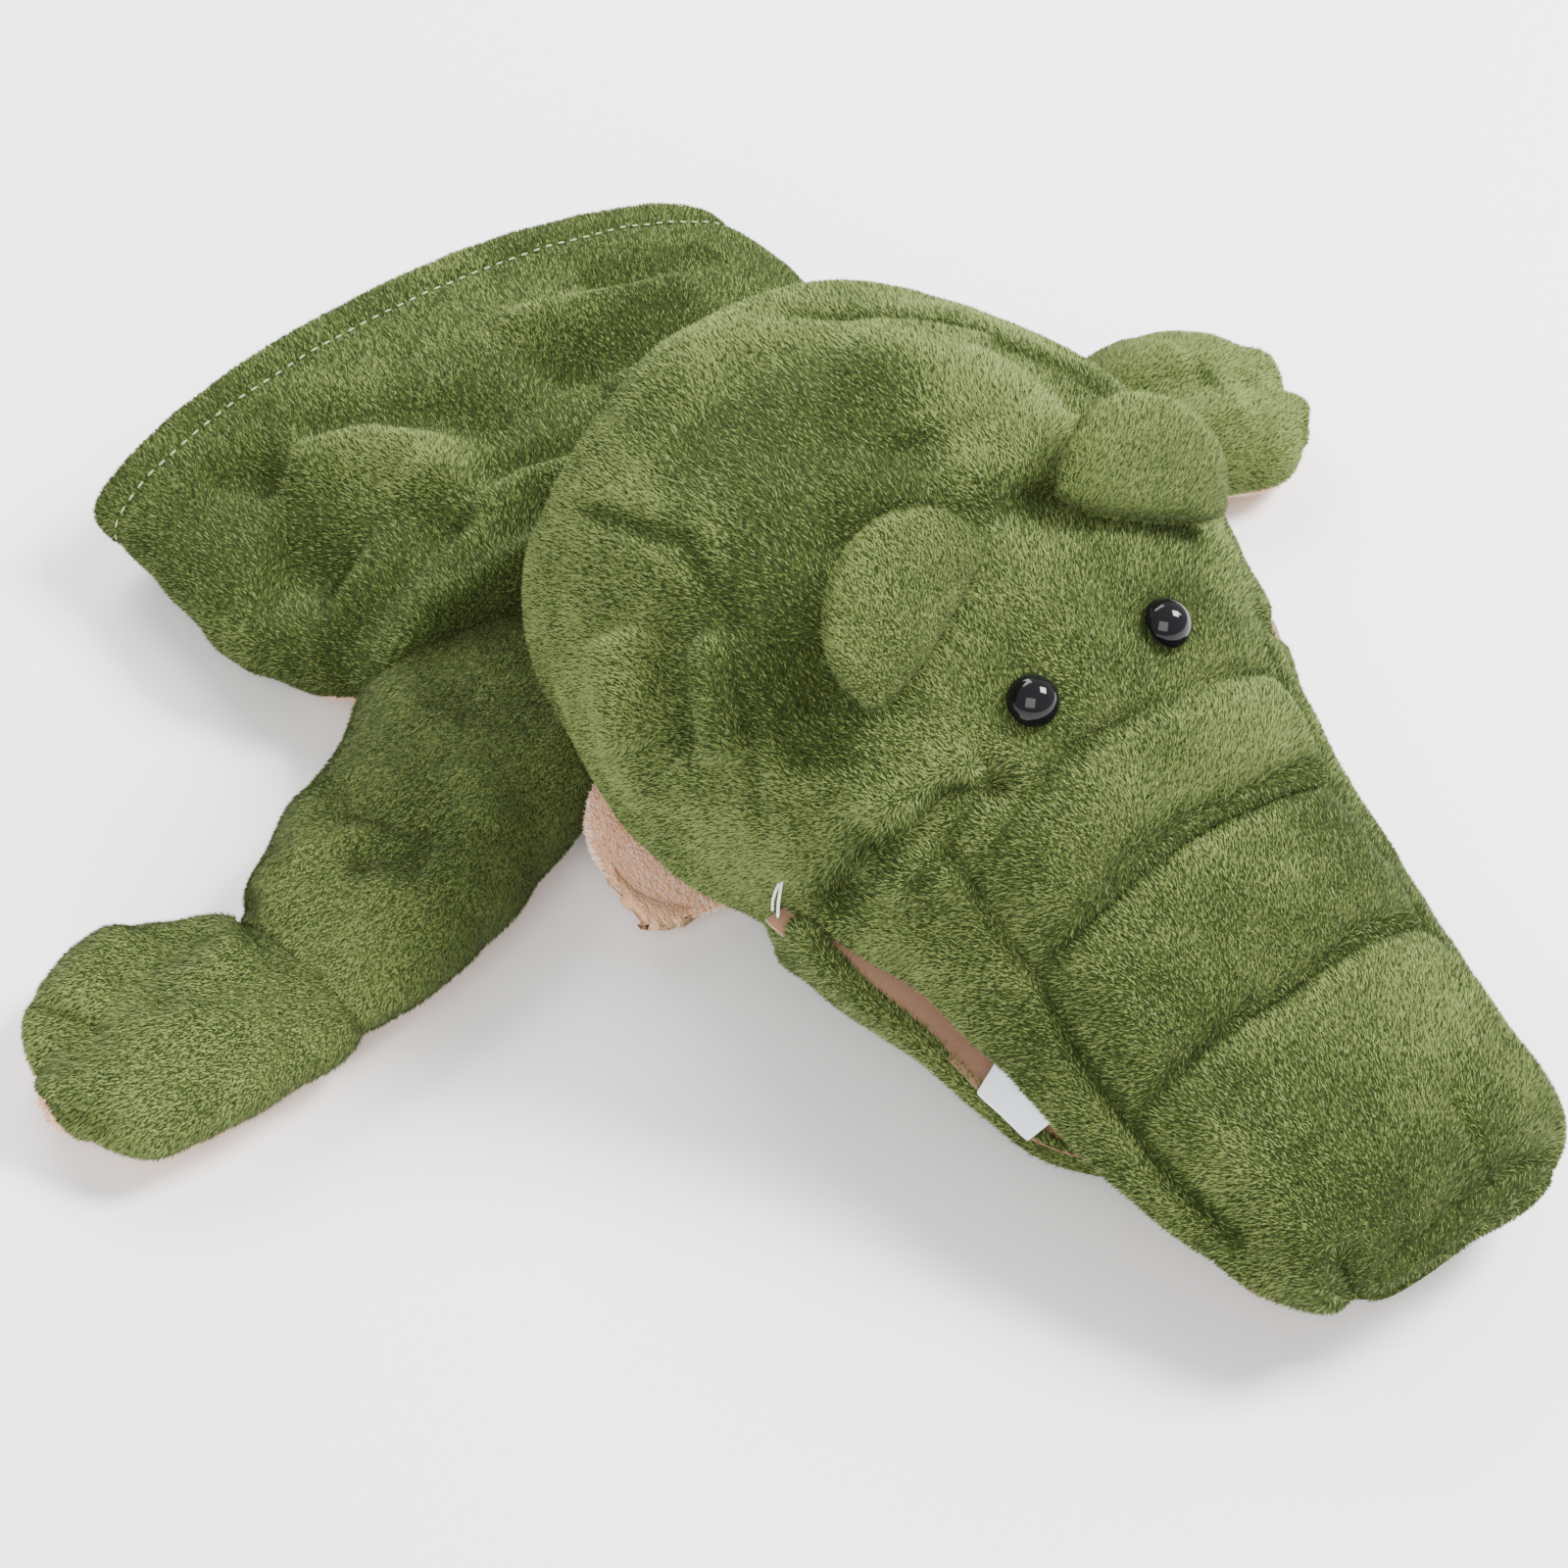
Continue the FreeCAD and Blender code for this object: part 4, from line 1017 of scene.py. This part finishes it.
limbLook = {
    "seam": -7.0, "height": 14,
    "arm": {-46: (14, 7, 7), -40: (13, 13, 10), -27: (9.5, 23, 13), -18: (6, 28, 14.5),
            -9: (2.5, 28, 14.8), 0: (1, 27, 14)},
    "right": {"shoulder": (121, -78), "armYaw": -66, "pawYaw": -107, "length": 50,
              "rest": {24: (0, 26, 13.5), 40: (-1, 23, 11), 50: (-2, 19.5, 8), 53: (-2.2, 18.4, 7.2)}},
    "left": {"shoulder": (121, 78), "armYaw": 105, "pawYaw": 75, "length": 26,
             "rest": {12: (0, 24, 13), 20: (-1, 21.5, 11), 26: (-2, 18.5, 7.5), 29: (-2.2, 17.6, 6.6)}},
    "paw": {-2.5: (-2.2, 18.4, 7.2), 3: (-2.2, 21, 8.4), 10: (-2.2, 24, 9.8), 26: (-3.4, 28, 10.8),
            40: (-4.4, 26, 9.2), 46: (-4.6, 19, 6.4)},
    "pawTip": 6.0, "notch": 9.0, "upper": 52, "lower": 44,
}
limbFolds = {
    "arm_right": [
        crease(-3.4, 5, [(108, -92, 28), (118, -98, 28), (130, -92, 28), (140, -88, 25)]),
        crease(-3.0, 4.5, [(130, -108, 26), (134, -100, 27), (142, -94, 25)]),
        crease(2.2, 8, [(104, -100, 27), (116, -110, 26), (128, -112, 25)]),
        crease(2.6, 6, [(122, -76, 27), (132, -76, 26), (142, -80, 23)]),
        crease(1.6, 4, [(116, -118, 22), (122, -122, 20), (130, -124, 18)])],
    "paw_right": [
        crease(2.4, 6, [(128, -132, 20), (134, -140, 20), (140, -152, 19), (146, -160, 17)]),
        crease(-2.4, 6, [(120, -134, 20), (124, -146, 21), (124, -160, 19)]),
        crease(-2.6, 4, [(142, -136, 18), (140, -146, 19), (134, -156, 20)]),
        crease(2.0, 7, [(112, -146, 18), (116, -158, 19), (122, -170, 16)]),
        crease(-2.2, 5, [(126, -166, 19), (130, -174, 16)])],
    "arm_left": [
        crease(-2.6, 5, [(108, 92, 28), (118, 96, 28), (130, 92, 27)])],
    "paw_left": [
        crease(-2.6, 5, [(116, 112, 20), (118, 126, 21), (122, 140, 20)]),
        crease(2.2, 7, [(106, 114, 20), (108, 126, 21), (110, 140, 19)]),
        crease(2.2, 6, [(128, 114, 19), (132, 126, 20), (136, 138, 18)])],
}


def limbPoints(stations, rows, start, yaws, bends, paw):
    # rings along a line that turns from one heading to the other between bends
    at = list(stations)
    shape = np.array(list(stations.values()), float)
    turn = np.radians(yaws[0] + (yaws[1] - yaws[0]) * smoothStep(bends[0], bends[1], rows))
    heading = np.stack([np.cos(turn), np.sin(turn)], axis=1)
    line = np.cumsum(heading * np.diff(rows, prepend=rows[0])[:, None], axis=0)
    zero = np.array([np.interp(0.0, rows, line[:, i]) for i in range(2)])
    line = line - zero + np.array(start)
    mid, wide, tall = (curveThrough(at, shape[:, i], rows) for i in range(3))
    edge = np.arccos(np.clip((limbLook["seam"] - mid) / tall, -0.9, 0.9))
    rings = []
    for k, t in enumerate(rows):
        upper = np.linspace(-edge[k], edge[k], limbLook["upper"])
        lower = np.linspace(edge[k], 2 * math.pi - edge[k], limbLook["lower"])
        angle = np.concatenate([upper, lower[1:-1]])
        side = np.sin(angle)
        flatter = np.sign(side) * np.abs(side) ** 0.9
        push = 0.0
        if paw:
            mitten = limbLook["notch"] * 0.5 * np.cos(side * 5.2 - 0.5 + math.pi) - 1.0
            push = smoothStep(18, 46, t) * mitten * np.clip(1 - side ** 4, 0, 1)
        across = np.stack([-heading[k, 1], heading[k, 0]])
        x = line[k, 0] + heading[k, 0] * push - across[0] * wide[k] * flatter
        y = line[k, 1] + heading[k, 1] * push - across[1] * wide[k] * flatter
        z = limbLook["height"] + mid[k] + tall[k] * np.cos(angle)
        rings.append(np.stack([x, y, softFloor(z, 0.5, 1.0)], axis=1))
    return np.array(rings), heading


def buildLimb(name, points, heading, bend):
    end = (heading[-1][0], heading[-1][1], 0)
    head = (-heading[0][0], -heading[0][1], 0)
    tip = limbLook["pawTip"] if name.startswith("paw") else 0.6
    normals = gridNormals(points, True)
    outward = normals if normals[0, 25, 2] > 0 or normals[3, 25, 2] > 0 else -normals
    height = relief(points, limbFolds[name]) + lumps(points, 13, 17) * 0.9 + lumps(points, 6, 18) * 0.3
    number, row = np.arange(points.shape[1]), np.arange(len(points))
    seamColumn = limbLook["upper"] - 1
    fromSeam = np.minimum(number, np.minimum(np.abs(number - seamColumn), np.abs(number - len(number))))
    height -= 0.9 * np.exp(-(fromSeam / 1.1) ** 2)[None, :]
    ends = smoothStep(0, 3, row)[:, None] * smoothStep(0, 2, len(row) - 1 - row)[:, None]
    points = points + outward * (height * ends)[..., None]
    points[..., 2] = np.maximum(points[..., 2], 0.4)
    points = np.concatenate([np.array(capRows(points[0], head, 5, 0.6)[::-1]), points,
                             np.array(capRows(points[-1], end, 8, tip))])
    napWay = (heading[0][0] * 0.8, heading[0][1] * 0.8, -0.1)
    top = points[:, :seamColumn + 1]
    under = np.concatenate([points[:, seamColumn:], points[:, :1]], axis=1)
    for label, part, material, tree, slot, node, density in (
            ("Top", top, plush, greenTree, "plush", ("upper", "stuffing"), 1.0),
            ("Under", under, bellyPlush, peachTree, "belly_plush", ("lower",), 0.55)):
        outside = gridNormals(part)
        flip = (outside[len(part) // 2, part.shape[1] // 2, 2] < 0) == (label == "Top")
        part = part[:, ::-1] if flip else part
        skin = plushSkin(name.replace("_r", "R").replace("_l", "L") + label, part, material, nap=napWay,
                         light=0.26 if name.startswith("paw") else 0.3,
                         tones=foldShading(part, limbFolds[name]))
        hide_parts(*[f"{name}_{n}" for n in node])
        growPile(skin, tree, lambda piece: (bend(piece), piece), density=density)
        bend(skin)


for side in ("right", "left"):
    look = limbLook[side]
    yaw, pawYaw, length = (look[k] for k in ("armYaw", "pawYaw", "length"))
    bend = (pawYaw - yaw) / 2
    heading = Vector((math.cos(math.radians(yaw)), math.sin(math.radians(yaw)), 0))
    shoulder = Vector((*look["shoulder"], limbLook["height"]))
    wrist = shoulder + heading * length
    across = math.radians(yaw + bend)
    crossing = Vector((math.cos(across), math.sin(across), 0))
    pawStart = wrist + crossing * 5

    def bendWithArm(piece):
        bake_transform(piece)

    def bendWithPaw(piece):
        (pawStart - crossing * 4.5) * mm
        (pawStart + crossing * 6) * mm
        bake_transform(piece)

    arm, armHeading = limbPoints({**limbLook["arm"], **look["rest"]},
                                 spacedRows(-46, length + 2.4, 1.7, 1.2), look["shoulder"],
                                 (yaw, yaw + bend), (length - 12, length + 2), False)
    buildLimb("arm_" + side, arm, armHeading, bendWithArm)
    paw, pawHeading = limbPoints(limbLook["paw"], spacedRows(-2.5, 46, 1.6, 1.2), pawStart[:2],
                                 (yaw + bend, pawYaw), (-2, 8), True)
    buildLimb("paw_" + side, paw, pawHeading, bendWithPaw)
print("limbs")


# ---- small parts: felt teeth, stitches and thread ends

toothLook = {
    "root": ((254.5, -44.5, 32.6), (269.5, -43.5, 28.2)),
    "tip": ((255.5, -50.9, 27.4), (267.5, -48.7, 23.4)),
    "thickness": 1.5, "rounding": 0.12, "rows": 12, "columns": 16,
}


def toothPoints(side):
    a, b = (np.array(p, float) * (1, -side, 1) for p in toothLook["root"])
    c, d = (np.array(p, float) * (1, -side, 1) for p in toothLook["tip"])
    made = []
    for v in np.linspace(0, 1, toothLook["rows"]):
        row = []
        for u in np.linspace(0, 1, toothLook["columns"]):
            square = 1 - toothLook["rounding"] * max(0, v - 0.6) * (2 * abs(u - 0.5)) ** 4
            p = (a + (b - a) * u) * (1 - v * square) + (c + (d - c) * u) * v * square
            row.append(p + np.array([0, 0, 0.7 * math.sin(math.pi * u)]))
        made.append(row)
    return np.array(made)


for side, label in ((-1, "Right"), (1, "Left")):
    grid = toothPoints(side)
    grid = grid if side < 0 else grid[:, ::-1]
    tooth = addMesh("tooth" + label, grid, gridFaces(toothLook["rows"], toothLook["columns"]))
    tooth.data.materials.append(felt)
    solid = tooth.modifiers.new("felt", "SOLIDIFY")
    solid.thickness, solid.offset = toothLook["thickness"] * mm, 0
    rounded = tooth.modifiers.new("edge", "BEVEL")
    rounded.width, rounded.segments, rounded.limit_method = 0.0004, 2, "ANGLE"
    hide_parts("tooth_" + label.lower())
    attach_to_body(tooth, "head")

stitchLook = {"pitch": 0.0034, "length": 0.0019, "radius": 0.00026}


def stitchTree(name, material):
    tree, given = newTree(name, ("Pitch", "Length", "Radius"))
    curve = addNode(tree, "GeometryNodeMeshToCurve", {}, {"Mesh": given["Geometry"]})
    spaced = addNode(tree, "GeometryNodeResampleCurve", {"mode": "LENGTH"},
                     {"Curve": curve, "Length": given["Pitch"]})
    tangent = addNode(tree, "GeometryNodeInputTangent")
    turned = addNode(tree, "FunctionNodeAlignRotationToVector", {"axis": "Z"}, {"Vector": tangent})
    ball = addNode(tree, "GeometryNodeMeshUVSphere", {}, {"Segments": 8, "Rings": 5, "Radius": 1.0})
    shape = addNode(tree, "ShaderNodeCombineXYZ", {}, {"X": given["Radius"], "Y": given["Radius"],
                                                       "Z": given["Length"] * 0.5})
    placed = addNode(tree, "GeometryNodeInstanceOnPoints", {}, {
        "Points": spaced, "Instance": ball, "Rotation": turned, "Scale": shape})
    real = addNode(tree, "GeometryNodeRealizeInstances", {}, {"Geometry": placed})
    coloured = addNode(tree, "GeometryNodeSetMaterial", {}, {"Geometry": real, "Material": material})
    result = tree.nodes.new("NodeGroupOutput")
    tree.links.new(coloured.socket, result.inputs[0])
    return tree


def addStitches(name, path, tree, body):
    path = np.asarray(path, float)
    mesh = bpy.data.meshes.new(name + "Path")
    mesh.from_pydata((path * mm).tolist(), [(i, i + 1) for i in range(len(path) - 1)], [])
    source = bpy.data.objects.new(name + "Path", mesh)
    bpy.context.collection.objects.link(source)
    made = bakeNodes(name, source, tree, {label: stitchLook[label.lower()]
                                          for label in ("Pitch", "Length", "Radius")})
    bpy.data.objects.remove(source)
    made.data.shade_smooth()
    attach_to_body(made, body)


stitches = stitchTree("stitches", hemThread)
hemStart = 16  # rows of the turned hem, before the outer sheet begins
middleX = sleeveBackPoints[:, sleeveLook["columns"] // 2, 0]
fromLine = np.abs(middleX - (sleeveLook["stitchLine"] - sleeveLook["bow"]))
hemRow = int(np.argmin(fromLine[hemStart:])) + hemStart
line = sleeveBackPoints[hemRow] + gridNormals(sleeveBackPoints)[hemRow] * 0.9
addStitches("hemStitches", line[3:-3], stitches, "sleeve")


def addTube(name, path, radius, material, body):
    # a short thread that lies along a path
    path = np.asarray(path, float)
    made = []
    for k, p in enumerate(path):
        way = path[min(k + 1, len(path) - 1)] - path[max(k - 1, 0)]
        way /= np.linalg.norm(way)
        side = np.cross(way, (0.3, 0.2, 1.0))
        side /= np.linalg.norm(side)
        up = np.cross(way, side)
        made.append([p + radius * (side * math.cos(a) + up * math.sin(a))
                     for a in np.linspace(0, 2 * math.pi, 8, endpoint=False)])
    rings = np.array(made)
    rings = np.concatenate([np.array(capRows(rings[0], path[0] - path[1], 2, 0.2)[::-1]), rings,
                            np.array(capRows(rings[-1], path[-1] - path[-2], 2, 0.2))])
    piece = addMesh(name, rings, gridFaces(len(rings), 8, True))
    piece.data.materials.append(material)
    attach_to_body(piece, body)


for name, radius, path in (
        ("threadEndLong", 0.30, [(211.5, -61.5, 56), (212.6, -62.9, 55.0), (213.3, -63.9, 53.0),
                                 (214.0, -64.6, 50.6)]),
        ("threadEndShort", 0.28, [(211.0, -61.5, 55.5), (211.4, -63.0, 54.0), (211.6, -63.9, 52.2),
                                  (212.4, -64.6, 50.8)])):
    addTube(name, path, radius, thread, "head")

for material, nodes in ((eyeBlack, ("eye_right", "eye_left")),
                        (moulded, ("eye_washer_right", "eye_washer_left")),
                        (tricot, ("finger_pocket", "thumb_pocket", "palm_lining"))):
    for node in nodes:
        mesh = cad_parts[node].data
        mesh.materials.clear()
        mesh.materials.append(material)
print("small parts")

# ---- stage, light and camera

floorLook = {"size": 4.0, "height": -0.0006, "colour": (0.97, 0.97, 0.97)}
floorMesh = bpy.data.meshes.new("floor")
half = floorLook["size"] / 2
corners = [(x * half, y * half, floorLook["height"]) for x, y in ((-1, -1), (1, -1), (1, 1), (-1, 1))]
floorMesh.from_pydata(corners, [], [(0, 1, 2, 3)])
floor = bpy.data.objects.new("floor", floorMesh)
bpy.context.collection.objects.link(floor)
floorMesh.materials.append(plainMaterial("paleFloor", floorLook["colour"], 0.7))

world = bpy.data.worlds.new("studio")
bpy.context.scene.world = world
world.use_nodes = True
background = world.node_tree.nodes["Background"].inputs
background[0].default_value = (1, 1, 1, 1)
background[1].default_value = 0.9
lightTarget = (0.17, 0, 0.03)


def addLight(name, place, size, power):
    data = bpy.data.lights.new(name, "AREA")
    data.size, data.energy = size, power
    light = bpy.data.objects.new(name, data)
    bpy.context.collection.objects.link(light)
    light.location = place
    light.rotation_euler = (Vector(lightTarget) - Vector(place)).to_track_quat("-Z", "Y").to_euler()


addLight("key", (0.55, 0.75, 1.05), 0.5, 52)
addLight("fill", (0.9, -0.9, 0.9), 1.0, 20)
addLight("back", (-0.7, 0.2, 0.8), 0.7, 18)

cameraLook = {"azimuth": 51.2, "elevation": 44.9, "distance": 0.6825, "lens": 79.06,
              "target": (0.177, -0.03339, 0.03675)}
azimuth, elevation = math.radians(cameraLook["azimuth"]), math.radians(cameraLook["elevation"])
back = Vector((math.sin(azimuth) * math.cos(elevation), -math.cos(azimuth) * math.cos(elevation),
               math.sin(elevation)))
cameraData = bpy.data.cameras.new("camera")
cameraData.lens, cameraData.sensor_width = cameraLook["lens"], 36
camera = bpy.data.objects.new("camera", cameraData)
bpy.context.collection.objects.link(camera)
camera.location = Vector(cameraLook["target"]) + back * cameraLook["distance"]
camera.rotation_euler = back.to_track_quat("Z", "Y").to_euler()
bpy.context.scene.camera = camera
